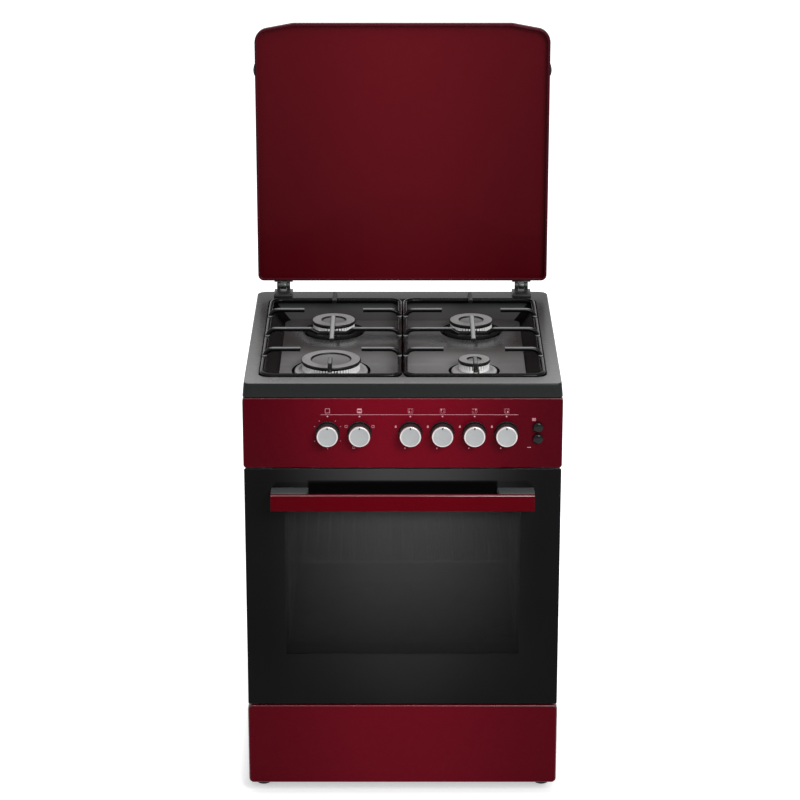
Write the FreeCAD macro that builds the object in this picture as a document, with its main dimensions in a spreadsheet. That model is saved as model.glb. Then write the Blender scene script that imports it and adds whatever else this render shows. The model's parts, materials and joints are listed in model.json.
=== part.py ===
import FreeCAD, Part
import math
import os

import Sketcher

# Freestanding cooker: gas hob with four burners and a lid, electric oven, drawer below.
# Millimetres. X to the right, Y to the back, Z up. The origin is on the floor under the
# middle of the whole object, handle included. The lid stands open, the door is shut.

os.makedirs("parts", exist_ok=True)
doc = FreeCAD.newDocument("FreestandingCooker")
sheet = doc.addObject("Spreadsheet::Sheet", "Sizes")

SIZES = {
    # Whole cabinet
    "cabinet_width": 600,
    "cabinet_depth": 600,
    "hob_height": 850,
    "handle_reach": 44,
    "sheet_steel": 1,
    "side_inset": 1,
    "flange_width": 18,
    "cut_overrun": 2,
    # Fronts, from the hob down
    "hob_apron_height": 27,
    "panel_to_hob_gap": 1,
    "panel_height": 138,
    "panel_to_door_gap": 2,
    "door_height": 486,
    "door_to_drawer_gap": 3.5,
    "door_depth": 34,
    "seal_gap": 6,
    # Feet
    "foot_height": 25,
    "foot_radius": 14,
    "foot_bevel": 1.5,
    "foot_pad_height": 17,
    "foot_neck_radius": 6.5,
    "foot_screw_radius": 5,
    "foot_screw_reach": 12,
    "foot_end_inset": 60,
    "foot_side_inset": 26,
    "screw_clearance": 0.3,
    # Back panel
    "vent_count": 9,
    "vent_pitch": 40,
    "vent_length": 60,
    "vent_width": 5,
    "vent_drop": 120,
    # Front frame
    "frame_lip": 2,
    "control_window_side_inset": 30,
    "control_window_rise": 60,
    "control_window_height": 68,
    # Oven
    "oven_side_space": 75,
    "oven_height": 350,
    "oven_rear_space": 149,
    "oven_rise": 66,
    "insulation_thickness": 25,
    "element_space": 14,
    "seal_offset": 9,
    "seal_width": 8,
    "seal_clearance": 0.3,
    # Shelf rails and wire shelf
    "rail_radius": 2,
    "rail_inset": 7,
    "rail_post_inset": 4,
    "rail_post_radius": 2,
    "rail_boss_radius": 3,
    "rail_first_level": 60,
    "rail_pitch": 70,
    "rail_levels": 4,
    "rail_end_gap": 30,
    "rail_post_share": 0.15,
    "shelf_levels_below_count": 2,
    "shelf_inset": 9.5,
    "shelf_rod_radius": 3,
    "shelf_seat_rise": 4.5,
    "shelf_wire_radius": 1.6,
    "shelf_wires": 17,
    "shelf_end_gap": 24,
    # Oven heating elements and lamp
    "element_radius": 3.3,
    "element_side_gap": 45,
    "element_tail_gap": 40,
    "element_top_drop": 18,
    "element_front_gap": 60,
    "element_rear_gap": 55,
    "element_bend": 24,
    "element_tail": 40,
    "element_clearance": 0.5,
    "lamp_side_gap": 75,
    "lamp_drop": 70,
    "lamp_glass_radius": 22,
    "lamp_tip_radius": 15,
    "lamp_glass_reach": 15,
    "lamp_tip_height": 5,
    "lamp_body_radius": 19,
    "lamp_body_length": 30,
    # Control panel, knobs and buttons
    "knob_rise": 70,
    "knob_pitch": 60,
    "knob_to_button_gap": 59,
    "bezel_radius": 22.8,
    "bezel_bevel": 1,
    "bezel_thickness": 2.5,
    "bezel_hole_radius": 6,
    "knob_gap": 3.5,
    "knob_base_radius": 20.8,
    "knob_face_radius": 20.2,
    "knob_edge": 1,
    "knob_length": 19,
    "knob_bore_depth": 14,
    "knob_pointer_width": 2.4,
    "knob_pointer_length": 4.5,
    "knob_pointer_inset": 2,
    "knob_pointer_depth": 0.6,
    "spindle_radius": 4,
    "running_clearance": 0.05,
    "panel_hole_radius": 5.5,
    "spindle_reach": 5,
    "knob_travel": 3,
    "travel_spare": 1,
    "button_side_inset": 46.5,
    "button_pitch": 23,
    "button_rise": 70.5,
    "button_radius": 9.5,
    "button_dome_radius": 6,
    "button_reach": 8,
    "button_collar": 5,
    "button_root": 8,
    "button_stem_radius": 3,
    "button_stem_length": 12,
    "button_travel": 3,
    "button_clearance": 0.1,
    # Switch bodies behind the panel
    "switch_width": 44,
    "switch_height": 44,
    "switch_depth": 34,
    "button_box_width": 28,
    "button_box_height": 52,
    # Gas supply
    "manifold_radius": 9,
    "manifold_wall": 1.5,
    "manifold_gap": 0.1,
    "manifold_left_overhang": 30,
    "manifold_side_inset": 50,
    "manifold_bend": 30,
    "inlet_radius": 10.48,
    "inlet_length": 18,
    "inlet_window_radius": 24,
    "valve_width": 26,
    "valve_depth": 30,
    "valve_up": 13,
    "valve_down": 12,
    "valve_frame_gap": 1,
    "valve_stub_radius": 5,
    "tube_radius": 3,
    "tube_bend": 14,
    "tube_start": 20,
    "tube_near_turn": 28,
    "tube_far_turn": 44,
    "tube_drop": 50,
    "tube_end_gap": 0.2,
    # Mains terminal block
    "terminal_width": 60,
    "terminal_height": 40,
    "terminal_depth": 30,
    "terminal_side_inset": 80,
    "terminal_rise": 300,
    "terminal_rim": 5,
    "cable_bore_radius": 6,
    "cable_bore_depth": 14,
    # Hob top
    "hob_front_setback": 2,
    "hob_front_slope": 4,
    "hob_side_slope": 2.5,
    "hob_rear_slope": 3,
    "hob_corner_radius": 10,
    "hob_seat_width": 14,
    "rim_front": 36,
    "rim_side": 25.5,
    "rim_rear": 57,
    "basin_corner_radius": 22,
    "basin_depth": 24,
    "basin_step": 2,
    "basin_step_run": 1,
    "basin_side_run": 35,
    "basin_front_run": 14,
    "basin_rear_run": 66,
    # Burners
    "cap_large_radius": 57.5,
    "cap_medium_radius": 43.5,
    "cap_small_radius": 31,
    "cap_thickness": 4.5,
    "cap_edge": 1.2,
    "cap_dish_depth": 3,
    "cap_dish_inset": 19,
    "ring_inset": 2,
    "ring_height": 16,
    "ring_wall": 9,
    "ring_roof": 3,
    "cup_flare": 12.5,
    "cup_height": 6,
    "cup_bevel": 2,
    "well_flare": 18,
    "well_depth": 3,
    "barrel_radius": 22,
    "barrel_clearance": 2,
    "barrel_depth": 38,
    "electrode_radius": 2.5,
    "electrode_offset": 3.6,
    "electrode_low": 8,
    "electrode_high": 14,
    "electrode_clearance": 0.3,
    # Grates
    "grate_gap": 10,
    "grate_frame_radius": 5,
    "grate_finger_radius": 4.4,
    "grate_bridge_radius": 4.8,
    "grate_top_rise": 19,
    "grate_side_gap": 7,
    "grate_front_gap": 6,
    "grate_rear_gap": 10.6,
    "grate_corner": 20,
    "grate_bend": 18,
    "grate_seat_gap": 0.25,
    "grate_opening_radius": 58.5,
    "grate_dip_half_width": 42,
    "grate_dip_run": 14,
    "grate_dip": 8.2,
    "grate_dip_bend": 9,
    "grate_rear_opening_radius": 50,
    # Lid and its hinges
    "lid_side_gap": 4,
    "lid_height": 534,
    "lid_depth": 16,
    "lid_rise": 26,
    "lid_rear_gap": 2,
    "lid_shoulder_run": 77,
    "lid_shoulder_drop": 14.6,
    "lid_top_corner": 28,
    "lid_bottom_corner": 12,
    "lid_lip": 5,
    "bumper_drop": 94,
    "bumper_radius": 27,
    "bumper_reach": 3,
    "hinge_side_inset": 56,
    "hinge_axis_rise": 16,
    "hinge_axis_inset": 15,
    "hinge_plate_width": 38,
    "hinge_plate_depth": 44,
    "hinge_plate_thickness": 5,
    "hinge_plate_inset": 4,
    "hinge_knuckle_radius": 7.5,
    "hinge_arm_radius": 8,
    "hinge_web": 6,
    "hinge_half_width": 13.5,
    "hinge_arm_half_width": 6,
    "hinge_knuckle_gap": 0.4,
    "hinge_pin_radius": 3,
    "hinge_leaf_thickness": 2,
    "hinge_leaf_front": 4,
    "hinge_leaf_depth": 16,
    # Door
    "glass_inset": 1,
    "outer_glass": 4,
    "door_pan_inset": 4,
    "door_pan_end_gap": 1,
    "door_window_side_inset": 5,
    "door_window_height": 276,
    "door_window_rise": 125,
    "inner_glass_lap": 10,
    "inner_glass": 4,
    "handle_side_inset": 52,
    "handle_height": 33,
    "handle_thickness": 10,
    "handle_drop": 37,
    "handle_edge": 2,
    "handle_block_width": 70,
    "door_hinge_setback": 10,
    "door_hinge_rise": 15,
    "door_pin_radius": 3,
    "door_eye_radius": 5.5,
    "door_tongue_side_inset": 32,
    "door_tongue_width": 8,
    "door_tongue_height": 8,
    "door_tongue_play": 2,
    "door_lug_gap": 8,
    "door_lug_height": 22,
    "door_tongue_plate": 2,
    "door_tongue_plate_height": 40,
    # Drawer
    "drawer_lift": 1.5,
    "drawer_front_depth": 20,
    "drawer_box_side_gap": 38,
    "drawer_box_rear_gap": 99,
    "drawer_box_height": 100,
    "runner_rise": 4,
    "runner_ledge": 10,
    "runner_guide": 2,
    "runner_play": 1,
    "runner_wall_height": 30,
    "slide_gap": 0.3,
}

for row, (name, value) in enumerate(SIZES.items(), 1):
    sheet.set(f"A{row}", name)
    sheet.set(f"B{row}", str(value))
    sheet.setAlias(f"B{row}", name)
doc.recompute()


class Size:
    """A length that keeps its number together with the sheet expression that gives it."""

    def __init__(self, text, number):
        self.text = text
        self.number = number

    def __add__(self, other):
        return joined(self, "+", other)

    def __radd__(self, other):
        return joined(other, "+", self)

    def __sub__(self, other):
        return joined(self, "-", other)

    def __rsub__(self, other):
        return joined(other, "-", self)

    def __mul__(self, other):
        return joined(self, "*", other)

    __rmul__ = __mul__

    def __truediv__(self, other):
        return joined(self, "/", other)

    def __neg__(self):
        return joined(0, "-", self)


def as_size(value):
    return value if isinstance(value, Size) else Size(f"({value})", value)


def joined(left, sign, right):
    left, right = as_size(left), as_size(right)
    result = {
        "+": lambda a, b: a + b,
        "-": lambda a, b: a - b,
        "*": lambda a, b: a * b,
        "/": lambda a, b: a / b,
    }[sign](left.number, right.number)
    return Size(f"({left.text} {sign} {right.text})", result)


class Sheet:
    """The driving sizes by name."""

    def __getattr__(self, name):
        return Size(f"Sizes.{name}", float(sheet.get(name)))


s = Sheet()

# Places that several pieces share
front = (s.handle_reach - s.cabinet_depth) / 2
rear = front + s.cabinet_depth
half_width = s.cabinet_width / 2
wall = s.sheet_steel
side_face = half_width - s.side_inset
body_front = front + s.door_depth + s.seal_gap
frame_back = body_front + wall
rim_top = s.hob_height
hob_bottom = rim_top - s.hob_apron_height
panel_top = hob_bottom - s.panel_to_hob_gap
panel_bottom = panel_top - s.panel_height
door_top = panel_bottom - s.panel_to_door_gap
door_bottom = door_top - s.door_height
drawer_top = door_bottom - s.door_to_drawer_gap
drawer_bottom = s.foot_height + s.drawer_lift
pan_bottom = s.foot_height + wall
pan_top = pan_bottom + wall
oven_bottom = door_bottom + s.oven_rise
oven_top = oven_bottom + s.oven_height
oven_side = half_width - s.oven_side_space
oven_back = rear - s.oven_rear_space
knob_z = panel_bottom + s.knob_rise
left_margin_share = 159.2 / 254.5
panel_spare = s.cabinet_width - 4 * s.knob_pitch - s.knob_to_button_gap - s.button_side_inset
first_knob = panel_spare * left_margin_share - half_width
knob_xs = [first_knob, first_knob + s.knob_pitch]
for step in range(4):
    knob_xs.append(knob_xs[1] + panel_spare * (1 - left_margin_share) + step * s.knob_pitch)
button_x = half_width - s.button_side_inset
floor_top = rim_top - s.basin_depth
well_floor = floor_top - s.well_depth
manifold_y = frame_back + s.manifold_gap + s.manifold_radius
manifold_z = knob_z - s.valve_down - s.manifold_radius
valve_front = frame_back + s.valve_frame_gap
valve_back = valve_front + s.valve_depth
inlet_x = half_width - s.manifold_side_inset
terminal_x = s.terminal_side_inset - half_width
basin_front_y = front + s.hob_front_setback + s.hob_front_slope + s.rim_front
basin_rear_y = rear - s.hob_rear_slope - s.rim_rear
basin_side_x = half_width - s.rim_side - s.hob_side_slope
burner_front_share = 111 / 498
burner_rear_share = 361 / 498
burner_side_share = 137 / 272
burner_front_y = basin_front_y + (basin_rear_y - basin_front_y) * burner_front_share
burner_rear_y = basin_front_y + (basin_rear_y - basin_front_y) * burner_rear_share
burner_x = basin_side_x * burner_side_share
lid_back = rear - s.lid_rear_gap
lid_front = lid_back - s.lid_depth
lid_bottom = rim_top + s.lid_rise
lid_axis_y = rear - s.hinge_axis_inset
lid_axis_z = rim_top + s.hinge_axis_rise
lid_side = half_width - s.lid_side_gap
hinge_x = half_width - s.hinge_side_inset
door_axis_y = front + s.door_hinge_setback
door_axis_z = door_bottom + s.door_hinge_rise
pan_back = front + s.door_depth

BURNERS = {
    "front_left": (-burner_x, burner_front_y, s.cap_large_radius),
    "rear_left": (-burner_x, burner_rear_y, s.cap_medium_radius),
    "rear_right": (burner_x, burner_rear_y, s.cap_medium_radius),
    "front_right": (burner_x, burner_front_y, s.cap_small_radius),
}

nodes = []


def bind(thing, place, value):
    """Ties one property of a document object to the sheet."""
    thing.setExpression(place, as_size(value).text)


def put(thing, start):
    for axis, value in zip("xyz", start):
        bind(thing, f"Placement.Base.{axis}", value)


def block(low, high):
    """A box between two corners."""
    box = doc.addObject("Part::Box", "Block")
    for name, a, b in zip(("Length", "Width", "Height"), low, high):
        bind(box, name, b - a)
    put(box, low)
    return box


TURNS = {
    "x": FreeCAD.Rotation(FreeCAD.Vector(0, 1, 0), 90),
    "y": FreeCAD.Rotation(FreeCAD.Vector(1, 0, 0), -90),
    "-y": FreeCAD.Rotation(FreeCAD.Vector(1, 0, 0), 90),
    "z": FreeCAD.Rotation(),
}


def cylinder(start, axis, length, radius):
    """A round bar from its start, along one axis."""
    bar = doc.addObject("Part::Cylinder", "Bar")
    bar.Placement = FreeCAD.Placement(FreeCAD.Vector(), TURNS[axis])
    bind(bar, "Radius", radius)
    bind(bar, "Height", length)
    put(bar, start)
    return bar


def fuse(parts):
    joint = doc.addObject("Part::MultiFuse", "Joined")
    joint.Shapes = list(parts)
    joint.Refine = True
    return joint


def cut(base, tools):
    """The base less its tools."""
    tools = list(tools)
    result = doc.addObject("Part::Cut", "Cut")
    result.Base = base
    result.Tool = tools[0] if len(tools) == 1 else fuse(tools)
    result.Refine = True
    return result


def group(parts):
    """Like pieces that share one node."""
    both = doc.addObject("Part::Compound", "Group")
    both.Links = list(parts)
    return both


def node(name, thing):
    """Gives a finished sub-part its name."""
    thing.Label = name
    nodes.append(thing)
    return thing


def shaped(name, shape):
    """A sub-part whose bent or lofted form is worked out here."""
    thing = doc.addObject("Part::Feature", name)
    thing.Shape = shape
    thing.Placement = FreeCAD.Placement()
    return node(name, thing)


def turned(name, points, start, axis):
    """A turned piece: an outline of (radius, height) points spun round its own axis."""
    body = doc.addObject("PartDesign::Body", name + "_body")
    sketch = body.newObject("Sketcher::SketchObject", name + "_outline")
    plane = [part for part in body.Origin.OriginFeatures if part.Role == "XZ_Plane"][0]
    sketch.AttachmentSupport = (plane, "")
    sketch.MapMode = "FlatFace"
    count = len(points)
    corners = [FreeCAD.Vector(as_size(a).number, as_size(b).number, 0) for a, b in points]
    for i in range(count):
        sketch.addGeometry(Part.LineSegment(corners[i], corners[(i + 1) % count]), False)
    for i in range(count):
        sketch.addConstraint(Sketcher.Constraint("Coincident", i, 2, (i + 1) % count, 1))
    for i, point in enumerate(points):
        for kind, line, value in zip(("DistanceX", "DistanceY"), (-2, -1), point):
            value = as_size(value)
            if value.number == 0:
                sketch.addConstraint(Sketcher.Constraint("PointOnObject", i, 1, line))
                continue
            rule = Sketcher.Constraint(kind, -1, 1, i, 1, value.number)
            bind(sketch, f"Constraints[{sketch.addConstraint(rule)}]", value)
    spin = body.newObject("PartDesign::Revolution", name + "_turned")
    spin.Profile = sketch
    spin.ReferenceAxis = (sketch, ["V_Axis"])
    spin.Angle = 360
    body.Tip = spin
    body.Placement = FreeCAD.Placement(FreeCAD.Vector(), TURNS[axis])
    put(body, start)
    return body


def span(side, inner, outer):
    """The low and high x of something that lies between two distances on one side."""
    return (inner, outer) if side > 0 else (-outer, -inner)


def vector(*values):
    return FreeCAD.Vector(*[as_size(value).number for value in values])


def rounded_path(points, bends, closed=False):
    """Straight runs joined by tangent arcs of the given radii."""
    count = len(points)
    starts, ends, edges = {}, {}, []
    corners = range(count) if closed else range(1, count - 1)
    for i in corners:
        here = points[i]
        back = (points[i - 1] - here).normalize()
        ahead = (points[(i + 1) % count] - here).normalize()
        half = back.getAngle(ahead) / 2
        reach = bends[i] / math.tan(half)
        starts[i] = here + back * reach
        ends[i] = here + ahead * reach
        middle = (back + ahead).normalize()
        crown = here + middle * (bends[i] / math.sin(half) - bends[i])
        edges.append((i, Part.Arc(starts[i], crown, ends[i]).toShape()))
    arcs = dict(edges)
    ordered = []
    for i in range(count if closed else count - 1):
        after = (i + 1) % count
        a = ends.get(i, points[i])
        b = starts.get(after, points[after])
        ordered.append(Part.LineSegment(a, b).toShape())
        if after in arcs:
            ordered.append(arcs[after])
    return Part.Wire(ordered)


def bent_rod(points, radius, bend, closed=False):
    """A round rod along straight runs and bends."""
    path = rounded_path(points, [bend] * len(points), closed)
    first = path.Edges[0]
    start = first.valueAt(first.FirstParameter)
    along = first.tangentAt(first.FirstParameter)
    ring = Part.Wire(Part.Circle(start, along, radius).toShape())
    return path.makePipeShell([ring], True, False)


def rounded_rectangle(low_x, high_x, low_y, high_y, z, radius):
    corners = [
        vector(low_x, low_y, z),
        vector(high_x, low_y, z),
        vector(high_x, high_y, z),
        vector(low_x, high_y, z),
    ]
    return rounded_path(corners, [as_size(radius).number] * len(corners), True)


# Cabinet shell


def side_panel(side, name):
    """Folded steel side with a flange all round its inner face."""
    low, high = span(side, side_face - s.flange_width, side_face)
    inner_low, inner_high = span(side, side_face - s.flange_width - s.cut_overrun, side_face - wall)
    outer = block((low, frame_back, s.foot_height), (high, rear, hob_bottom))
    hollow = block(
        (inner_low, frame_back + wall, s.foot_height + wall),
        (inner_high, rear - wall, hob_bottom - wall),
    )
    return node(name, cut(outer, [hollow]))


def back_panel():
    """Flat rear sheet with cooling slots, the gas inlet window and the terminal window."""
    inner = side_face - wall
    plate = block((-inner, rear - 2 * wall, pan_top), (inner, rear - wall, hob_bottom - wall))
    near, far = rear - 2 * wall - s.cut_overrun, rear + s.cut_overrun
    tools = []
    count = int(s.vent_count.number)
    for step in range(count):
        x = (step - (count - 1) / 2) * s.vent_pitch
        top = hob_bottom - s.vent_drop
        tools.append(
            block((x - s.vent_width / 2, near, top - s.vent_length), (x + s.vent_width / 2, far, top))
        )
    tools.append(
        cylinder((inlet_x, near, manifold_z), "y", far - near, s.inlet_window_radius)
    )
    tools.append(
        block(
            (terminal_x - s.terminal_width / 2 + s.terminal_rim, near,
             s.terminal_rise + s.terminal_rim),
            (terminal_x + s.terminal_width / 2 - s.terminal_rim, far,
             s.terminal_rise + s.terminal_height - s.terminal_rim),
        )
    )
    return node("back_panel", cut(plate, tools))


def foot_places():
    for x in (-half_width + s.foot_side_inset, half_width - s.foot_side_inset):
        for y in (front + s.foot_end_inset, rear - s.foot_end_inset):
            yield x, y


def base_pan():
    """Floor of the drawer space, with the holes of the feet."""
    inner = side_face - wall
    plate = block((-inner, frame_back + wall, pan_bottom), (inner, rear - 2 * wall, pan_top))
    tools = []
    for x, y in foot_places():
        tools.append(
            cylinder(
                (x, y, pan_bottom - s.cut_overrun),
                "z",
                wall + 2 * s.cut_overrun,
                s.foot_screw_radius + s.screw_clearance,
            )
        )
    return node("base_pan", cut(plate, tools))


def feet():
    """Four screw feet."""
    outline = [
        (0, 0),
        (s.foot_radius - s.foot_bevel, 0),
        (s.foot_radius, s.foot_bevel),
        (s.foot_radius, s.foot_pad_height),
        (s.foot_neck_radius, s.foot_pad_height),
        (s.foot_neck_radius, pan_bottom),
        (s.foot_screw_radius, pan_bottom),
        (s.foot_screw_radius, pan_bottom + s.foot_screw_reach),
        (0, pan_bottom + s.foot_screw_reach),
    ]
    return node("feet", group([turned("foot", outline, (x, y, 0), "z") for x, y in foot_places()]))


def front_frame():
    """Steel face of the cabinet round the oven mouth and behind the control panel."""
    plate = block(
        (-side_face, body_front, door_bottom - s.frame_lip), (side_face, frame_back, hob_bottom)
    )
    near, far = body_front - s.cut_overrun, frame_back + s.cut_overrun
    mouth = block((-oven_side, near, oven_bottom), (oven_side, far, oven_top))
    low = panel_bottom + s.control_window_rise
    window = block(
        (s.control_window_side_inset - half_width, near, low),
        (half_width - s.control_window_side_inset, far, low + s.control_window_height),
    )
    return node("front_frame", cut(plate, [mouth, window]))


# Oven


def element_points(z, tail_end):
    """The route of a heating element: two tails at the back and a wide loop."""
    wide, tail = oven_side - s.element_side_gap, s.element_tail_gap
    far = oven_back - s.element_rear_gap
    near = frame_back + s.element_front_gap
    return [
        vector(-tail, tail_end, z),
        vector(-tail, far, z),
        vector(-wide, far, z),
        vector(-wide, near, z),
        vector(wide, near, z),
        vector(wide, far, z),
        vector(tail, far, z),
        vector(tail, tail_end, z),
    ]


tail_end = oven_back + wall + s.element_tail
top_element_z = oven_top - s.element_top_drop
bottom_element_z = oven_bottom - wall - s.element_space / 2
lamp_z = oven_top - s.lamp_drop
lamp_x = s.lamp_side_gap - oven_side


def tail_holes(z):
    for x in (-s.element_tail_gap, s.element_tail_gap):
        yield cylinder(
            (x, oven_back - s.element_tail, z),
            "y",
            s.element_tail * 2,
            s.element_radius + s.element_clearance,
        )


def lamp_hole():
    return cylinder(
        (lamp_x, oven_back - s.element_tail, lamp_z),
        "y",
        s.element_tail * 2,
        s.lamp_body_radius + s.element_clearance,
    )


def oven_cavity():
    """Enamelled box, open at the front."""
    outer = block(
        (-oven_side - wall, frame_back, oven_bottom - wall),
        (oven_side + wall, oven_back + wall, oven_top + wall),
    )
    hollow = block(
        (-oven_side, frame_back - s.cut_overrun, oven_bottom), (oven_side, oven_back, oven_top)
    )
    return node("oven_cavity", cut(outer, [hollow, lamp_hole(), *tail_holes(top_element_z)]))


def oven_insulation():
    """Mineral wool blanket round the cavity, with room for the lower element."""
    thick = s.insulation_thickness
    low = oven_bottom - wall - s.element_space
    outer = block(
        (-oven_side - wall - thick, frame_back, low - thick),
        (oven_side + wall + thick, oven_back + wall + thick, oven_top + wall + thick),
    )
    hollow = block(
        (-oven_side - wall, frame_back - s.cut_overrun, low),
        (oven_side + wall, oven_back + wall, oven_top + wall),
    )
    holes = [*tail_holes(top_element_z), *tail_holes(bottom_element_z), lamp_hole()]
    return node("oven_insulation", cut(outer, [hollow, *holes]))


def heating_element(name, z):
    points = element_points(z, tail_end)
    return shaped(name, bent_rod(points, s.element_radius.number, s.element_bend.number))


def door_seal():
    """Heatproof gasket on the front frame."""
    near = body_front - s.seal_gap + s.seal_clearance
    out, wide = s.seal_offset, s.seal_width
    outer = block(
        (-oven_side - out - wide, near, oven_bottom - out - wide),
        (oven_side + out + wide, body_front, oven_top + out + wide),
    )
    inner = block(
        (-oven_side - out, near - s.cut_overrun, oven_bottom - out),
        (oven_side + out, body_front + s.cut_overrun, oven_top + out),
    )
    return node("door_seal", cut(outer, [inner]))


def rail_levels():
    for step in range(int(s.rail_levels.number)):
        yield oven_bottom + s.rail_first_level + step * s.rail_pitch


def shelf_rails():
    """Two wire ladders on the oven sides."""
    near = frame_back + s.rail_end_gap
    far = oven_back - s.rail_end_gap
    ladders = []
    for side in (-1, 1):
        parts = []
        rail_x = side * (oven_side - s.rail_inset)
        post_x = side * (oven_side - s.rail_post_inset)
        for z in rail_levels():
            parts.append(cylinder((rail_x, near, z), "y", far - near, s.rail_radius))
        low = oven_bottom + s.rail_first_level - s.rail_pitch / 2
        high = s.rail_pitch * s.rail_levels
        for end in (0, 1):
            inset = (far - near) * s.rail_post_share
            y = far - inset if end else near + inset
            parts.append(cylinder((post_x, y, low), "z", high, s.rail_post_radius))
            for z in (low + s.rail_pitch, low + high - s.rail_pitch):
                start, stop = span(side, oven_side - s.rail_post_inset, oven_side)
                parts.append(cylinder((start, y, z), "x", stop - start, s.rail_boss_radius))
        ladders.append(fuse(parts))
    return node("shelf_rails", group(ladders))


def wire_shelf():
    """Chromed rod frame with wires from front to back, on the rails."""
    z = (
        oven_bottom
        + s.rail_first_level
        + s.shelf_levels_below_count * s.rail_pitch
        + s.shelf_seat_rise
    )
    x = oven_side - s.shelf_inset
    near = frame_back + s.shelf_end_gap
    far = oven_back - s.shelf_end_gap
    parts = [
        cylinder((-x, near, z), "y", far - near, s.shelf_rod_radius),
        cylinder((x, near, z), "y", far - near, s.shelf_rod_radius),
        cylinder((-x, near + s.shelf_rod_radius, z), "x", 2 * x, s.shelf_rod_radius),
        cylinder((-x, far - s.shelf_rod_radius, z), "x", 2 * x, s.shelf_rod_radius),
    ]
    count = int(s.shelf_wires.number)
    for step in range(1, count + 1):
        wire_x = (2 * step / (count + 1) - 1) * x
        start = (wire_x, near + s.shelf_rod_radius, z)
        length = far - near - 2 * s.shelf_rod_radius
        parts.append(cylinder(start, "y", length, s.shelf_wire_radius))
    return node("wire_shelf", fuse(parts))


def oven_lamp():
    """Lamp with a glass dome, set through the back of the cavity."""
    reach = s.lamp_glass_reach
    outline = [
        (0, 0),
        (s.lamp_tip_radius, 0),
        (s.lamp_glass_radius, s.lamp_tip_height),
        (s.lamp_glass_radius, reach),
        (s.lamp_body_radius, reach),
        (s.lamp_body_radius, reach + s.lamp_body_length),
        (0, reach + s.lamp_body_length),
    ]
    return node("oven_lamp", turned("lamp", outline, (lamp_x, oven_back - reach, lamp_z), "y"))


# Control panel


def button_z(step):
    return panel_bottom + s.button_rise + (0.5 - step) * s.button_pitch


def control_panel():
    """Folded fascia with the holes of the knobs and buttons."""
    outer = block((-half_width, front, panel_bottom), (half_width, body_front, panel_top))
    hollow = block(
        (-half_width + wall, front + wall, panel_bottom + wall),
        (half_width - wall, body_front + s.cut_overrun, panel_top - wall),
    )
    tools = [hollow]
    near = front - s.cut_overrun
    through = wall + 2 * s.cut_overrun
    for x in knob_xs:
        tools.append(cylinder((x, near, knob_z), "y", through, s.panel_hole_radius))
    for step in (0, 1):
        hole = s.button_radius + s.button_clearance
        tools.append(cylinder((button_x, near, button_z(step)), "y", through, hole))
    return node("control_panel", cut(outer, tools))


def knob_bezels():
    """Black ring on the panel behind each knob."""
    bevel = s.bezel_bevel
    outline = [
        (s.bezel_hole_radius, 0),
        (s.bezel_radius, 0),
        (s.bezel_radius, s.bezel_thickness - bevel),
        (s.bezel_radius - bevel, s.bezel_thickness),
        (s.bezel_hole_radius, s.bezel_thickness),
    ]
    rings = [turned("bezel", outline, (x, front, knob_z), "-y") for x in knob_xs]
    return node("knob_bezels", group(rings))


knob_back = front - s.bezel_thickness - s.knob_gap
knob_face = knob_back - s.knob_length


def knob(number, x):
    """Turning knob with a sunk pointer at the top of its face."""
    bore = s.spindle_radius + s.running_clearance
    outline = [
        (bore, 0),
        (s.knob_base_radius, 0),
        (s.knob_face_radius, s.knob_length - s.knob_edge),
        (s.knob_face_radius - s.knob_edge, s.knob_length),
        (0, s.knob_length),
        (0, s.knob_bore_depth),
        (bore, s.knob_bore_depth),
    ]
    body = turned("knob", outline, (x, knob_back, knob_z), "-y")
    half = s.knob_pointer_width / 2
    top = knob_z + s.knob_face_radius - s.knob_pointer_inset
    pointer = block(
        (x - half, knob_face - s.cut_overrun, top - s.knob_pointer_length),
        (x + half, knob_face + s.knob_pointer_depth, top),
    )
    return node(f"knob_{number}", cut(body, [pointer]))


spindle_tip = knob_back - s.knob_bore_depth + s.travel_spare


def gas_spindle(number, x):
    """Spindle of a burner valve: it carries the knob, is pushed in and springs back."""
    end = valve_front + s.spindle_reach
    bar = cylinder((x, spindle_tip, knob_z), "y", end - spindle_tip, s.spindle_radius)
    return node(f"gas_spindle_{number}", bar)


def oven_switches():
    """Thermostat and oven selector with their spindles, and the push-button box."""
    bodies = []
    back = front + wall + s.switch_depth
    for x in knob_xs[:2]:
        body = block(
            (x - s.switch_width / 2, front + wall, knob_z - s.switch_height / 2),
            (x + s.switch_width / 2, back, knob_z + s.switch_height / 2),
        )
        spindle = cylinder((x, spindle_tip, knob_z), "y", back - spindle_tip, s.spindle_radius)
        bodies.append(fuse([body, spindle]))
    x = button_x
    middle = panel_bottom + s.button_rise
    box = block(
        (x - s.button_box_width / 2, front + wall, middle - s.button_box_height / 2),
        (x + s.button_box_width / 2, back, middle + s.button_box_height / 2),
    )
    root = s.button_root + s.button_travel + s.travel_spare
    tools = []
    for step in (0, 1):
        start = (x, front, button_z(step))
        tools.append(cylinder(start, "y", root, s.button_radius + s.button_clearance))
        deep = root + s.button_stem_length
        tools.append(cylinder(start, "y", deep, s.button_stem_radius + s.button_clearance))
    bodies.append(cut(box, tools))
    return node("oven_switches", group(bodies))


def push_button(name, step):
    """Domed push button with its stem."""
    stem, root = s.button_stem_length, s.button_root
    outline = [
        (0, 0),
        (s.button_stem_radius, 0),
        (s.button_stem_radius, stem),
        (s.button_radius, stem),
        (s.button_radius, stem + root + s.button_collar),
        (s.button_dome_radius, stem + root + s.button_reach),
        (0, stem + root + s.button_reach),
    ]
    start = (button_x, front + root + stem, button_z(step))
    return node(name, turned(name, outline, start, "-y"))


# Gas supply


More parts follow.
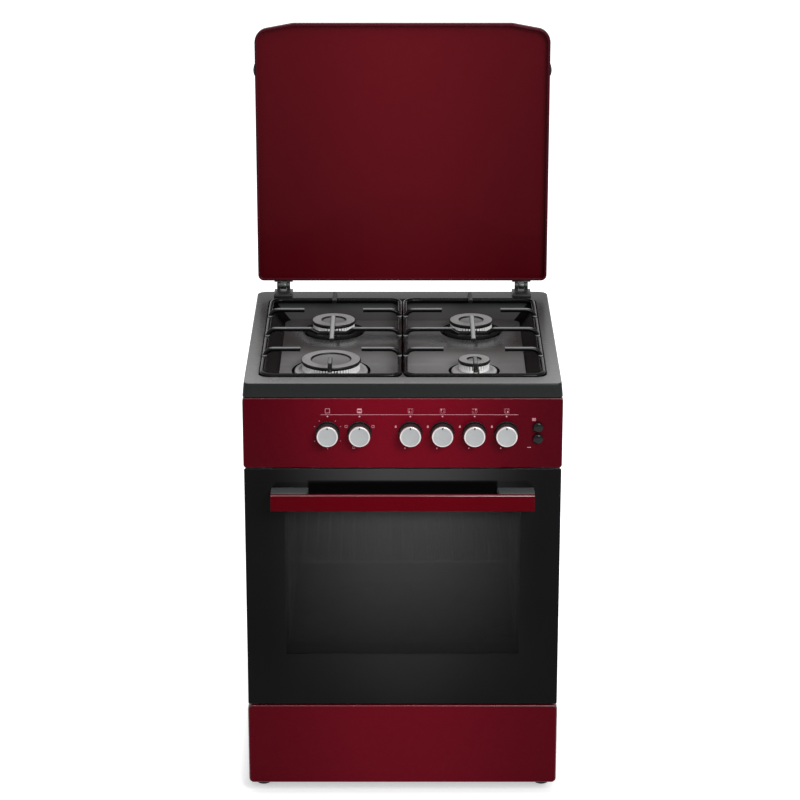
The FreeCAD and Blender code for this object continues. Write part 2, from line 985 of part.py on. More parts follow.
def gas_manifold():
    """Steel rail along the valves and back to the threaded inlet."""
    left = knob_xs[2] - s.manifold_left_overhang
    stop = rear - s.inlet_length
    points = [
        vector(left, manifold_y, manifold_z),
        vector(inlet_x, manifold_y, manifold_z),
        vector(inlet_x, stop, manifold_z),
    ]
    bend = s.manifold_bend.number
    pipe = bent_rod(points, s.manifold_radius.number, bend)
    inner = s.manifold_radius - s.manifold_wall
    axis = vector(0, 1, 0)
    end = vector(inlet_x, stop, manifold_z)
    thread = Part.makeCylinder(s.inlet_radius.number, s.inlet_length.number, end, axis)
    bore_points = [
        vector(left + s.manifold_wall, manifold_y, manifold_z),
        points[1],
        vector(inlet_x, rear + s.cut_overrun, manifold_z),
    ]
    bore = bent_rod(bore_points, inner.number, bend)
    body = pipe.fuse(thread).cut(bore)
    for x in knob_xs[2:]:
        hole = Part.makeCylinder(
            (s.valve_stub_radius + s.running_clearance).number,
            s.manifold_radius.number * 2,
            vector(x, manifold_y, manifold_z),
            vector(0, 0, 1),
        )
        body = body.cut(hole)
    return shaped("gas_manifold", body.removeSplitter())


def gas_valves():
    """Four taps that stand on the manifold, each with the bore of its spindle."""
    bodies = []
    for x in knob_xs[2:]:
        body = block(
            (x - s.valve_width / 2, valve_front, knob_z - s.valve_down),
            (x + s.valve_width / 2, valve_back, knob_z + s.valve_up),
        )
        stub = cylinder(
            (x, manifold_y, manifold_z),
            "z",
            knob_z - manifold_z,
            s.valve_stub_radius,
        )
        bore = cylinder(
            (x, valve_front - s.cut_overrun, knob_z),
            "y",
            s.cut_overrun + s.spindle_reach + s.knob_travel + s.travel_spare,
            s.spindle_radius + s.running_clearance,
        )
        bodies.append(cut(fuse([body, stub]), [bore]))
    return node("gas_valves", group(bodies))


def burner_tubes():
    """Thin pipes from the valves to the burners."""
    z = well_floor - s.tube_drop / 2
    start = valve_back + s.tube_end_gap
    reach = s.barrel_radius + s.tube_end_gap
    near = valve_back + s.tube_near_turn
    far = valve_back + s.tube_far_turn
    x3, x4, x5, x6 = knob_xs[2:]
    side = burner_x
    lane_left = -side / 2
    lane_right = side - s.barrel_radius * 2
    routes = [
        [(x3, near), (-side, near), (-side, burner_front_y - reach)],
        [(x4, far), (lane_left, far), (lane_left, burner_rear_y), (-side + reach, burner_rear_y)],
        [(x5, near), (lane_right, near), (lane_right, burner_rear_y), (side - reach, burner_rear_y)],
        [(x6, near), (x6, burner_front_y), (side + reach, burner_front_y)],
    ]
    tubes = []
    for number, (x, route) in enumerate(zip((x3, x4, x5, x6), routes)):
        rise_y = valve_back + s.tube_start
        points = [vector(x, start, knob_z), vector(x, rise_y, knob_z), vector(x, rise_y, z)]
        turns = route if number != 3 else route[1:]
        points += [vector(a, b, z) for a, b in turns]
        tubes.append(bent_rod(points, s.tube_radius.number, tube_bend(points)))
    return shaped("burner_tubes", Part.makeCompound(tubes))


def tube_bend(points):
    """The largest bend, up to the usual one, that the shortest run leaves room for."""
    runs = [a.distanceToPoint(b) for a, b in zip(points, points[1:])]
    return min(s.tube_bend.number, min(runs) * tube_bend_share)


tube_bend_share = 0.45


def mains_terminal_block():
    """Block behind the back panel's window where the supply lead would enter."""
    low_x = terminal_x - s.terminal_width / 2
    back = rear - 2 * wall
    body = block(
        (low_x, back - s.terminal_depth, s.terminal_rise),
        (low_x + s.terminal_width, back, s.terminal_rise + s.terminal_height),
    )
    bore = cylinder(
        (terminal_x, back - s.cable_bore_depth, s.terminal_rise + s.terminal_height / 2),
        "y",
        s.cable_bore_depth + s.cut_overrun,
        s.cable_bore_radius,
    )
    return node("mains_terminal_block", cut(body, [bore]))


# Hob


def hob_loft(grow, low_z, high_z):
    """The flared outer form of the hob top, grown or shrunk all round."""
    side, slope = half_width + grow, s.hob_side_slope
    near, far = front + s.hob_front_setback - grow, rear + grow
    radius = s.hob_corner_radius + grow
    low = rounded_rectangle(-side, side, near, far, low_z, radius)
    high = rounded_rectangle(
        -side + slope,
        side - slope,
        near + s.hob_front_slope,
        far - s.hob_rear_slope,
        high_z,
        radius,
    )
    return Part.makeLoft([low, high], True, True)


def basin_outline(grow, step, run, z):
    """One level of the basin: step and run are 0 or 1."""
    inset = step * s.basin_step_run
    side = basin_side_x + grow - inset - run * s.basin_side_run
    near = basin_front_y - grow + inset + run * s.basin_front_run
    far = basin_rear_y + grow - inset - run * s.basin_rear_run
    return rounded_rectangle(-side, side, near, far, z, s.basin_corner_radius + grow - inset)


def basin_form(grow, drop, top):
    """The space of the basin: a steep step, then long slopes down to the floor."""
    step_z = rim_top - s.basin_step - drop
    upper = [basin_outline(grow, 0, 0, top), basin_outline(grow, 1, 0, step_z)]
    lower = [basin_outline(grow, 1, 0, step_z), basin_outline(grow, 1, 1, floor_top - drop)]
    return Part.makeLoft(upper, True, True).fuse(Part.makeLoft(lower, True, True))


def round_tool(x, y, low_z, high_z, radius):
    length = as_size(high_z - low_z).number
    return Part.makeCylinder(as_size(radius).number, length, vector(x, y, low_z))


def hob_top():
    """Pressed and enamelled steel: apron, flat rim, deep basin and a round well per burner."""
    body = hob_loft(0, hob_bottom, rim_top).cut(hob_loft(-wall, hob_bottom + wall, rim_top - wall))
    seat = s.hob_seat_width
    opening = rounded_rectangle(
        -half_width + seat,
        half_width - seat,
        front + s.hob_front_setback + seat,
        rear - seat,
        hob_bottom - s.cut_overrun,
        s.hob_corner_radius,
    )
    tall = (s.cut_overrun + 2 * wall).number
    body = body.cut(Part.Face(opening).extrude(vector(0, 0, tall)))
    body = body.fuse(basin_form(wall, wall, rim_top))
    for x, y, radius in BURNERS.values():
        well = radius + s.well_flare
        body = body.fuse(round_tool(x, y, well_floor - wall, floor_top - wall / 2, well + wall))
    body = body.cut(basin_form(0, 0, rim_top))
    for x, y, radius in BURNERS.values():
        well = radius + s.well_flare
        body = body.cut(round_tool(x, y, well_floor, floor_top + wall, well))
        hole = s.barrel_radius + s.barrel_clearance
        body = body.cut(round_tool(x, y, well_floor - 2 * wall, floor_top, hole))
        ex, ey = electrode_place(x, y, radius)
        body = body.cut(
            round_tool(
                ex,
                ey,
                well_floor - 2 * wall,
                floor_top,
                s.electrode_radius + s.electrode_clearance,
            )
        )
    return shaped("hob_top", body.removeSplitter())


electrode_side_share = 0.2
electrode_front_share = math.sqrt(1 - electrode_side_share**2)


def electrode_place(x, y, radius):
    """Just outside the cap, in front and a little to the right."""
    reach = radius + s.electrode_offset
    return x + reach * electrode_side_share, y - reach * electrode_front_share


def burner_cups():
    """Aluminium cup of each burner: a flange in its well and a barrel below the hob."""
    cups = []
    for x, y, radius in BURNERS.values():
        flange = radius + s.cup_flare
        outline = [
            (0, 0),
            (s.barrel_radius, 0),
            (s.barrel_radius, s.barrel_depth),
            (flange, s.barrel_depth),
            (flange, s.barrel_depth + s.cup_height - s.cup_bevel),
            (flange - s.cup_bevel, s.barrel_depth + s.cup_height),
            (0, s.barrel_depth + s.cup_height),
        ]
        body = turned("cup", outline, (x, y, well_floor - s.barrel_depth), "z")
        ex, ey = electrode_place(x, y, radius)
        hole = cylinder(
            (ex, ey, well_floor - s.cut_overrun),
            "z",
            s.cup_height + 2 * s.cut_overrun,
            s.electrode_radius + s.electrode_clearance,
        )
        cups.append(cut(body, [hole]))
    return node("burner_cups", group(cups))


ring_bottom = well_floor + s.cup_height
ring_top = ring_bottom + s.ring_height


def burner_ring(name, x, y, radius):
    """Flame ring: an open drum that stands on the cup."""
    outer = radius - s.ring_inset
    inner = outer - s.ring_wall
    outline = [
        (inner, 0),
        (outer, 0),
        (outer, s.ring_height),
        (0, s.ring_height),
        (0, s.ring_height - s.ring_roof),
        (inner, s.ring_height - s.ring_roof),
    ]
    return node(f"burner_ring_{name}", turned("ring", outline, (x, y, ring_bottom), "z"))


def burner_cap(name, x, y, radius):
    """Enamelled cap with a shallow dish in its top."""
    dish = radius - s.cap_dish_inset
    edge = s.cap_edge
    thick = s.cap_thickness
    outline = [
        (0, 0),
        (radius, 0),
        (radius, thick - edge),
        (radius - edge, thick),
        (dish, thick),
        (dish, thick - s.cap_dish_depth),
        (0, thick - s.cap_dish_depth),
    ]
    return node(f"burner_cap_{name}", turned("cap", outline, (x, y, ring_top), "z"))


def spark_electrodes():
    """Ceramic spark electrode beside each burner."""
    bars = []
    for x, y, radius in BURNERS.values():
        ex, ey = electrode_place(x, y, radius)
        low = well_floor - s.electrode_low
        length = s.electrode_low + s.cup_height + s.electrode_high
        bars.append(cylinder((ex, ey, low), "z", length, s.electrode_radius))
    return node("spark_electrodes", group(bars))


def grate_frame_z():
    """Height at which the side rod of a grate lies on the slope of the basin."""
    fall = (s.basin_depth - s.basin_step).number
    run = s.basin_side_run.number
    into = (s.grate_side_gap - s.basin_step_run).number
    slope_z = (rim_top - s.basin_step).number - into * fall / run
    reach = (s.grate_frame_radius + s.grate_seat_gap).number
    return slope_z + reach * math.hypot(fall, run) / run


def grate(side, name):
    """Enamelled rod grate: a low frame, fingers bent up from it and a bridge in the middle."""
    low = grate_frame_z()
    high = (rim_top + s.grate_top_rise).number
    inner = side * s.grate_gap.number / 2
    outer = side * (basin_side_x - s.grate_side_gap).number
    near = (basin_front_y + s.grate_front_gap).number
    far = (basin_rear_y - s.grate_rear_gap).number
    middle = ((burner_front_y + burner_rear_y) / 2).number
    centre = side * burner_x.number
    opening = s.grate_opening_radius.number
    finger, bend = s.grate_finger_radius.number, s.grate_bend.number
    point = FreeCAD.Vector
    start = point((inner + outer) / 2, near, low)
    corners = [point(outer, near, low), point(outer, far, low), point(inner, far, low)]
    corners += [point(inner, near, low)]
    loop = rounded_path(corners, [s.grate_corner.number] * 4, True)
    first = loop.Edges[0]
    begin = first.valueAt(first.FirstParameter)
    along = first.tangentAt(first.FirstParameter)
    ring = Part.Wire(Part.Circle(begin, along, s.grate_frame_radius.number).toShape())
    body = loop.makePipeShell([ring], True, False)
    for y in (burner_front_y.number, burner_rear_y.number):
        for x, tip in ((outer, centre + side * opening), (inner, centre - side * opening)):
            rods = [point(x, y, low), point(x, y, high), point(tip, y, high)]
            body = body.fuse(bent_rod(rods, finger, bend))
    front_tip = burner_front_y.number - opening
    rear_tip = burner_rear_y.number + opening
    for y, tip in ((near, front_tip), (far, rear_tip)):
        rods = [point(centre, y, low), point(centre, y, high), point(centre, tip, high)]
        body = body.fuse(bent_rod(rods, finger, bend))
    body = body.fuse(grate_bridge(side, inner, outer, centre, middle, low, high))
    bridge = s.grate_bridge_radius.number
    begin_y = (burner_front_y + s.grate_opening_radius).number
    end_y = (burner_rear_y - s.grate_rear_opening_radius).number
    rod = Part.makeCylinder(
        bridge, end_y - begin_y, point(centre, begin_y, high), point(0, 1, 0)
    )
    return shaped(name, body.fuse(rod).removeSplitter())


def grate_bridge(side, inner, outer, centre, middle, low, high):
    """The cross bar: it dips by one rod under the finger that it carries."""
    point = FreeCAD.Vector
    wide = s.grate_dip_half_width.number
    run = s.grate_dip_run.number
    dip = high - s.grate_dip.number
    points = [
        point(outer, middle, low),
        point(outer, middle, high),
        point(centre + side * wide, middle, high),
        point(centre + side * (wide - run), middle, dip),
        point(centre - side * (wide - run), middle, dip),
        point(centre - side * wide, middle, high),
        point(inner, middle, high),
        point(inner, middle, low),
    ]
    bends = [s.grate_bend.number] * len(points)
    for i in range(2, 6):
        bends[i] = s.grate_dip_bend.number
    path = rounded_path(points, bends)
    ring = Part.Wire(
        Part.Circle(points[0], point(0, 0, 1), s.grate_finger_radius.number).toShape()
    )
    return path.makePipeShell([ring], True, False)


# Lid


def lid_outline(inset, y):
    """The lid's shape: straight sides and a flat top that falls away to its shoulders."""
    half = lid_side.number - inset
    flat = (lid_side - s.lid_shoulder_run).number - inset / 2
    low = lid_bottom.number + inset
    high = (lid_bottom + s.lid_height).number - inset
    shoulder = high - s.lid_shoulder_drop.number
    place = as_size(y).number
    corners = [
        (-half, low), (half, low), (half, shoulder), (flat, high), (-flat, high), (-half, shoulder)
    ]
    points = [FreeCAD.Vector(x, place, z) for x, z in corners]
    top, bottom = s.lid_top_corner.number - inset, s.lid_bottom_corner.number - inset
    bends = [max(bend, inset) for bend in (bottom, bottom, top, top, top, top)]
    return Part.Face(rounded_path(points, bends, True))


def lid():
    """Painted steel pan with an inward lip, standing open."""
    steel = wall.number
    depth = s.lid_depth.number
    body = lid_outline(0, lid_front).extrude(FreeCAD.Vector(0, depth, 0))
    hollow = lid_outline(steel, lid_front + wall).extrude(FreeCAD.Vector(0, depth - 2 * steel, 0))
    mouth = lid_outline(s.lid_lip.number, lid_front - wall)
    body = body.cut(hollow).cut(mouth.extrude(FreeCAD.Vector(0, 3 * steel, 0)))
    return shaped("lid", body)


def lid_bumpers():
    """Half-round rubber bumpers on the lid's sides."""
    pads = []
    edge = lid_side
    z = lid_bottom + s.lid_height - s.bumper_drop
    for side in (-1, 1):
        centre = side * (edge + s.bumper_reach - s.bumper_radius)
        disc = cylinder((centre, lid_front, z), "y", s.lid_depth, s.bumper_radius)
        low, high = span(side, edge - 3 * s.bumper_radius, edge)
        away = block(
            (low, lid_front - s.cut_overrun, z - 2 * s.bumper_radius),
            (high, lid_back + s.cut_overrun, z + 2 * s.bumper_radius),
        )
        pads.append(cut(disc, [away]))
    return node("lid_bumpers", group(pads))


def lid_hinge_bases():
    """Plate on the rear rim with two knuckles."""
    bases = []
    top = rim_top + s.hinge_plate_thickness
    far = rear - s.hinge_plate_inset
    outer, inner = s.hinge_half_width, s.hinge_arm_half_width + s.hinge_knuckle_gap
    for side in (-1, 1):
        x = side * hinge_x
        parts = [
            block(
                (x - s.hinge_plate_width / 2, far - s.hinge_plate_depth, rim_top),
                (x + s.hinge_plate_width / 2, far, top),
            )
        ]
        for start in (x - outer, x + inner):
            wide = outer - inner
            parts.append(
                cylinder((start, lid_axis_y, lid_axis_z), "x", wide, s.hinge_knuckle_radius)
            )
            parts.append(
                block(
                    (start, lid_axis_y - s.hinge_web, rim_top),
                    (start + wide, lid_axis_y + s.hinge_web, lid_axis_z),
                )
            )
        bore = cylinder(
            (x - outer - s.cut_overrun, lid_axis_y, lid_axis_z),
            "x",
            2 * outer + 2 * s.cut_overrun,
            s.hinge_pin_radius + s.running_clearance,
        )
        bases.append(cut(fuse(parts), [bore]))
    return node("lid_hinge_bases", group(bases))


def lid_hinge_arms():
    """Leaf under the lid's lower flange with its knuckle and pin."""
    arms = []
    near = lid_axis_y - s.hinge_leaf_front
    for side in (-1, 1):
        x = side * hinge_x
        leaf = block(
            (x - s.hinge_plate_width / 2, near, lid_bottom - s.hinge_leaf_thickness),
            (x + s.hinge_plate_width / 2, near + s.hinge_leaf_depth, lid_bottom),
        )
        barrel = cylinder(
            (x - s.hinge_arm_half_width, lid_axis_y, lid_axis_z),
            "x",
            2 * s.hinge_arm_half_width,
            s.hinge_arm_radius,
        )
        web = block(
            (x - s.hinge_arm_half_width, near, lid_axis_z),
            (x + s.hinge_arm_half_width, lid_axis_y + s.hinge_web, lid_bottom),
        )
        pin = cylinder(
            (x - s.hinge_half_width, lid_axis_y, lid_axis_z),
            "x",
            2 * s.hinge_half_width,
            s.hinge_pin_radius,
        )
        arms.append(fuse([leaf, barrel, web, pin]))
    return node("lid_hinge_arms", group(arms))


# Door

door_side = half_width - s.glass_inset
door_pan_side = half_width - s.door_pan_inset
door_pan_low = door_bottom + s.door_pan_end_gap
door_pan_high = door_top - s.door_pan_end_gap
glass_back = front + s.outer_glass
window_low = door_bottom + s.door_window_rise
window_side = oven_side - s.door_window_side_inset
tongue_in = half_width - s.door_tongue_side_inset
tongue_out = tongue_in + s.door_tongue_width


def door_outer_glass():
    """Dark front glass over the whole door."""
    plate = block((-door_side, front, door_bottom), (door_side, glass_back, door_top))
    return node("door_outer_glass", plate)


def door_inner_panel():
    """Steel pan behind the glass: window, lugs of the hinge pins and notches of the tongues."""
    outer = block((-door_pan_side, glass_back, door_pan_low), (door_pan_side, pan_back, door_pan_high))
    hollow = block(
        (-door_pan_side + wall, glass_back - s.cut_overrun, door_pan_low + wall),
        (door_pan_side - wall, pan_back - wall, door_pan_high - wall),
    )
    window = block(
        (-window_side, glass_back, window_low),
        (window_side, pan_back + s.cut_overrun, window_low + s.door_window_height),
    )
    shell = cut(outer, [hollow, window])
    lugs = []
    tools = []
    for side in (-1, 1):
        low, high = span(side, tongue_in - s.door_lug_gap - 2 * wall, tongue_in - s.door_lug_gap)
        lugs.append(
            block((low, glass_back, door_pan_low), (high, pan_back, door_pan_low + s.door_lug_height))
        )
        low, high = span(side, tongue_in - s.door_tongue_play, tongue_out + s.door_tongue_play)
        reach = s.door_eye_radius + s.door_tongue_play
        tools.append(
            block(
                (low, glass_back, door_pan_low - s.cut_overrun),
                (high, pan_back + s.cut_overrun, door_axis_z + reach),
            )
        )
        low, high = span(side, tongue_in - s.door_lug_gap - 3 * wall, tongue_in - s.door_lug_gap / 2)
        tools.append(cylinder((low, door_axis_y, door_axis_z), "x", high - low, s.door_pin_radius))
    return node("door_inner_panel", cut(fuse([shell, *lugs]), tools))


def door_inner_glass():
    """Inner window glass, held against the pan."""
    lap = s.inner_glass_lap
    back = pan_back - wall
    plate = block(
        (-window_side - lap, back - s.inner_glass, window_low - lap),
        (window_side + lap, back, window_low + s.door_window_height + lap),
    )
    return node("door_inner_glass", plate)


handle_high = door_top - s.handle_drop
handle_low = handle_high - s.handle_height
handle_side = half_width - s.handle_side_inset
handle_front = front - s.handle_reach
bar_back = handle_front + s.handle_thickness


def door_handle():
    """Flat red bar with softened long edges."""
    edge = s.handle_edge.number
    low, high = handle_low.number, handle_high.number
    near, far = handle_front.number, bar_back.number
    corners = [(near, low), (far, low), (far, high), (near, high)]
    points = [FreeCAD.Vector(-handle_side.number, y, z) for y, z in corners]
    face = Part.Face(rounded_path(points, [edge] * len(points), True))
    return shaped("door_handle", face.extrude(vector(2 * handle_side, 0, 0)))


def door_handle_brackets():
    """Solid end blocks between the bar and the glass."""
    blocks = []
    for side in (-1, 1):
        low, high = span(side, handle_side - s.handle_block_width, handle_side)
        blocks.append(block((low, bar_back, handle_low), (high, front, handle_high)))
    return node("door_handle_brackets", group(blocks))


def door_hinge_pins():
    """Pin through each tongue, from the lug to the pan's side."""
    pins = []
    for side in (-1, 1):
        low, high = span(side, tongue_in - s.door_lug_gap - 2 * wall, door_pan_side - wall)
        pins.append(cylinder((low, door_axis_y, door_axis_z), "x", high - low, s.door_pin_radius))
    return node("door_hinge_pins", group(pins))


def door_hinge_tongues():
    """Hinge tongue on the front frame with the eye of the pin."""
    tongues = []
    for side in (-1, 1):
        low, high = span(side, tongue_in, tongue_out)
        arm = block(
            (low, door_axis_y, door_axis_z - s.door_tongue_height / 2),
            (high, body_front, door_axis_z + s.door_tongue_height / 2),
        )
        eye = cylinder((low, door_axis_y, door_axis_z), "x", high - low, s.door_eye_radius)
        plate_low, plate_high = span(
            side, tongue_in - s.door_tongue_play, tongue_out + s.door_tongue_play
        )
        plate = block(
            (plate_low, body_front - s.door_tongue_plate, door_bottom),
            (plate_high, body_front, door_bottom + s.door_tongue_plate_height),
        )
        bore = cylinder(
            (low - s.cut_overrun, door_axis_y, door_axis_z),
            "x",
            high - low + 2 * s.cut_overrun,
            s.door_pin_radius + s.running_clearance,
        )
        tongues.append(cut(fuse([arm, eye, plate]), [bore]))
    return node("door_hinge_tongues", group(tongues))


# Drawer

box_low = pan_top + s.runner_rise + s.slide_gap
box_side = half_width - s.drawer_box_side_gap
box_back = rear - s.drawer_box_rear_gap


def drawer_front():
    """Folded steel front of the drawer, open at the back."""
    outer = block(
        (-half_width, front, drawer_bottom), (half_width, front + s.drawer_front_depth, drawer_top)
    )
    hollow = block(
        (-half_width + wall, front + wall, drawer_bottom + wall),
        (half_width - wall, front + s.drawer_front_depth + s.cut_overrun, drawer_top - wall),
    )
    return node("drawer_front", cut(outer, [hollow]))


def drawer_box():
    """Open steel box behind the drawer front."""
    half = box_side
    near, far = front + wall, box_back
    outer = block((-half, near, box_low), (half, far, box_low + s.drawer_box_height))
    hollow = block(
        (-half + wall, near + wall, box_low + wall),
        (half - wall, far - wall, box_low + s.drawer_box_height + s.cut_overrun),
    )
    return node("drawer_box", cut(outer, [hollow]))


def drawer_runners():
    """Ledge and guide wall on the base pan at each side of the drawer."""
    rails = []
    half = box_side
    near, far = frame_back + wall, box_back
    for side in (-1, 1):
        wall_in = half + s.runner_play
        wall_out = wall_in + s.runner_guide
        low, high = span(side, half - s.runner_ledge, wall_out)
        ledge = block((low, near, pan_top), (high, far, pan_top + s.runner_rise))
        low, high = span(side, wall_in, wall_out)
        guide = block((low, near, pan_top), (high, far, pan_top + s.runner_wall_height))
        rails.append(fuse([ledge, guide]))
    return node("drawer_runners", group(rails))


side_panel(-1, "side_panel_left")
side_panel(1, "side_panel_right")
back_panel()
base_pan()
feet()
front_frame()
oven_cavity()
oven_insulation()
heating_element("top_element", top_element_z)
heating_element("bottom_element", bottom_element_z)
door_seal()
shelf_rails()
wire_shelf()
oven_lamp()
control_panel()
knob_bezels()
for number, x in enumerate(knob_xs, 1):
    knob(number, x)
for number, x in enumerate(knob_xs[2:], 3):
    gas_spindle(number, x)
oven_switches()
push_button("ignition_button", 0)
push_button("lamp_button", 1)
gas_manifold()
gas_valves()
burner_tubes()
mains_terminal_block()
hob_top()
burner_cups()
for name, (x, y, radius) in BURNERS.items():
    burner_ring(name, x, y, radius)
    burner_cap(name, x, y, radius)
spark_electrodes()
grate(-1, "grate_left")
grate(1, "grate_right")
lid()
lid_bumpers()
lid_hinge_bases()
lid_hinge_arms()
door_outer_glass()
door_inner_panel()
door_inner_glass()
door_handle()
door_handle_brackets()
door_hinge_pins()
door_hinge_tongues()
drawer_front()
drawer_box()
drawer_runners()

doc.recompute()

for thing in doc.Objects:
    if "Invalid" in thing.State or "Error" in thing.State:
        raise RuntimeError(f"{thing.Label} ({thing.Name}) did not compute: {thing.State}")
for thing in nodes:
    if thing.Shape.isNull() or not thing.Shape.isValid() or not thing.Shape.Solids:
        raise RuntimeError(f"{thing.Label} has no valid shape")
for thing in nodes:
    thing.Shape.exportStep(f"parts/{thing.Label}.step")
print(len(nodes), "sub-parts written")
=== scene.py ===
import math

import bmesh
import bpy
from mathutils import Matrix, Vector
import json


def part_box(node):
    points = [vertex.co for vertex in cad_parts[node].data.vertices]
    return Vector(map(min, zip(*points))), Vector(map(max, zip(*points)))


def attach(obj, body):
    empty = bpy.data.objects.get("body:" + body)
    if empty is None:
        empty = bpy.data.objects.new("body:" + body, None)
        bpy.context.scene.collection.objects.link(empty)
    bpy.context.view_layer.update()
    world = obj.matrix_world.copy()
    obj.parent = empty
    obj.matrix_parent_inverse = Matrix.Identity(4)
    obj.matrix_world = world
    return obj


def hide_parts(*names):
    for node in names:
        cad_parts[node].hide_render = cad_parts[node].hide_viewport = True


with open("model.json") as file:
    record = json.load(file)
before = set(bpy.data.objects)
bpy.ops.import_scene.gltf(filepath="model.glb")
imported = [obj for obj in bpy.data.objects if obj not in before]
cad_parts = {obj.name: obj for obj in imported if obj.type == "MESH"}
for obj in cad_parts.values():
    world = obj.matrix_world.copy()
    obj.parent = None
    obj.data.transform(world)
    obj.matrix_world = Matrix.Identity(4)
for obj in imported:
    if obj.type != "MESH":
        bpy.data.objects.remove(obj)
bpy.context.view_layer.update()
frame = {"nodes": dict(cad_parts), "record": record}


# Floor, studio light and camera. The floor is a plain white sheet that keeps the cooker's
# shadow. A soft box overhead, one in front, a thin strip lamp and a pale sky light it, and
# the camera stands in front at the photograph's height, tilted down.

class Amount:
    """A value that varies over a surface: sums with it add Math nodes to its finish."""

    def __init__(self, finish, socket):
        self.finish = finish
        self.socket = socket

    def combine(self, operation, *values):
        return self.finish.add("Math", {"operation": operation}, Value=list(values))

    def __add__(self, other):
        return self.combine("ADD", self, other)

    __radd__ = __add__

    def __sub__(self, other):
        return self.combine("SUBTRACT", self, other)

    def __rsub__(self, other):
        return self.combine("SUBTRACT", other, self)

    def __mul__(self, other):
        return self.combine("MULTIPLY", self, other)

    __rmul__ = __mul__

    def __abs__(self):
        return self.combine("ABSOLUTE", self)

    def or_more(self, other):
        """The larger of the two."""
        return self.combine("MAXIMUM", self, other)


class Finish:
    """One material and the nodes that make it."""

    def __init__(self, name, tree=None):
        if tree is None:
            self.material = bpy.data.materials.new(name)
            self.material.use_nodes = True
            tree = self.material.node_tree
        self.tree = tree
        self.tree.nodes.clear()
        self.spot = None

    def add(self, kind, settings=None, output=0, **inputs):
        """Any node: its settings first, then what goes into its sockets."""
        node = self.tree.nodes.new("ShaderNode" + kind)
        for name, value in (settings or {}).items():
            setattr(node, name, value)
        for name, values in inputs.items():
            sockets = [s for s in node.inputs if s.enabled and s.name == name.replace("_", " ")]
            for socket, value in zip(sockets, values if isinstance(values, list) else [values]):
                if isinstance(value, Amount):
                    self.tree.links.new(value.socket, socket)
                else:
                    socket.default_value = value
        if isinstance(output, str):
            return Amount(self, node.outputs[output])
        live = [s for s in node.outputs if s.enabled]
        return Amount(self, live[output]) if live else None

    def place(self):
        """Where a point of the piece is, in metres."""
        if self.spot is None:
            self.spot = self.add("TexCoord", output="Object")
        return self.spot

    def along(self, axis):
        return self.add("SeparateXYZ", output=axis, Vector=self.place())

    def noise(self, scale, detail=3.0, rough=0.5, stretch=(1, 1, 1)):
        """Cloudy variation from 0 to 1, with so many clouds to a metre."""
        place = self.place()
        if stretch != (1, 1, 1):
            place = self.add("Mapping", Vector=place, Scale=stretch)
        return self.add("TexNoise", Vector=place, Scale=scale, Detail=detail, Roughness=rough)

    def limit(self, value, low, high, kind="LINEAR"):
        """Turns low to high into 0 to 1 and holds it there."""
        return self.add(
            "MapRange",
            {"clamp": True, "interpolation_type": kind},
            Value=value, From_Min=low, From_Max=high, To_Min=0.0, To_Max=1.0,
        )

    def sideways(self, near=0.03, far=0.3):
        """0 along the middle of the cooker and 1 at its sides."""
        return self.limit(abs(self.along("X")), near, far, "SMOOTHSTEP")

    def seen(self):
        """1 for the camera, in mirror images and through glass, and 0 where it only lights."""
        rays = ("Is Camera Ray", "Is Glossy Ray", "Is Transmission Ray")
        direct, mirrored, through = [self.add("LightPath", output=ray) for ray in rays]
        return direct + mirrored + through

    def mix(self, mask, first, second):
        """One colour where the mask is 0 and the other where it is 1."""
        return self.add("Mix", {"data_type": "RGBA"}, Factor=mask, A=first, B=second)

    def bump(self, height, distance):
        return self.add("Bump", Height=height, Distance=distance)

    def surface(self, **inputs):
        """Ends the material with its shader."""
        shader = self.add("BsdfPrincipled", output="BSDF", **inputs)
        self.add("OutputMaterial", Surface=shader)
        return self.material


def paint(red, green, blue):
    """A colour as a screen shows it, 0 to 255, in the light that the shader takes."""
    tones = [c / 255 for c in (red, green, blue)]
    return (*[t / 12.92 if t <= 0.04045 else ((t + 0.055) / 1.055) ** 2.4 for t in tones], 1.0)


def into_scene(name, data):
    """An object with this data, linked to the scene."""
    made = bpy.data.objects.new(name, data)
    bpy.context.scene.collection.objects.link(made)
    return made


floor_reach = 30
floor_sheet = bpy.data.meshes.new("floor")
shape = bmesh.new()
bmesh.ops.create_grid(shape, x_segments=1, y_segments=1, size=floor_reach)
shape.to_mesh(floor_sheet)
shape.free()
floor = into_scene("floor", floor_sheet)

shadow_near, shadow_far = 0.295, 0.355
shadow_level, open_level = 0.45, 1.05
floor_paper = Finish("floor_paper")
paper = floor_paper.add("BsdfDiffuse", Color=(0.8, 0.8, 0.8, 1), Roughness=0.0)
spread = abs(floor_paper.along("X")).or_more(abs(floor_paper.along("Y")))
open_floor = floor_paper.limit(spread, shadow_near, shadow_far, "SMOOTHSTEP")
white = shadow_level + (open_level - shadow_level) * open_floor
glow = floor_paper.add("Emission", Color=(1, 1, 1, 1), Strength=floor_paper.seen() * white)
both = floor_paper.add("AddShader", Shader=[paper, glow])
floor_paper.add("OutputMaterial", Surface=both)
floor_sheet.materials.append(floor_paper.material)

world = bpy.data.worlds.new("studio")
bpy.context.scene.world = world
world.use_nodes = True
sky = Finish("studio", world.node_tree)
sky_light = 0.4
sky_level = sky_light + (1 - sky_light) * sky.seen()
backdrop = sky.add("Background", Color=(1, 1, 1, 1), Strength=sky_level)
sky.add("OutputWorld", Surface=backdrop)


def soft_box(name, place, aim, width, height, watts):
    """A large flat lamp that faces a point."""
    lamp = bpy.data.lights.new(name, "AREA")
    lamp.shape = "RECTANGLE"
    lamp.size, lamp.size_y = width, height
    lamp.energy = watts
    box = into_scene(name, lamp)
    box.location = place
    box.rotation_euler = (Vector(aim) - Vector(place)).to_track_quat("-Z", "Y").to_euler()


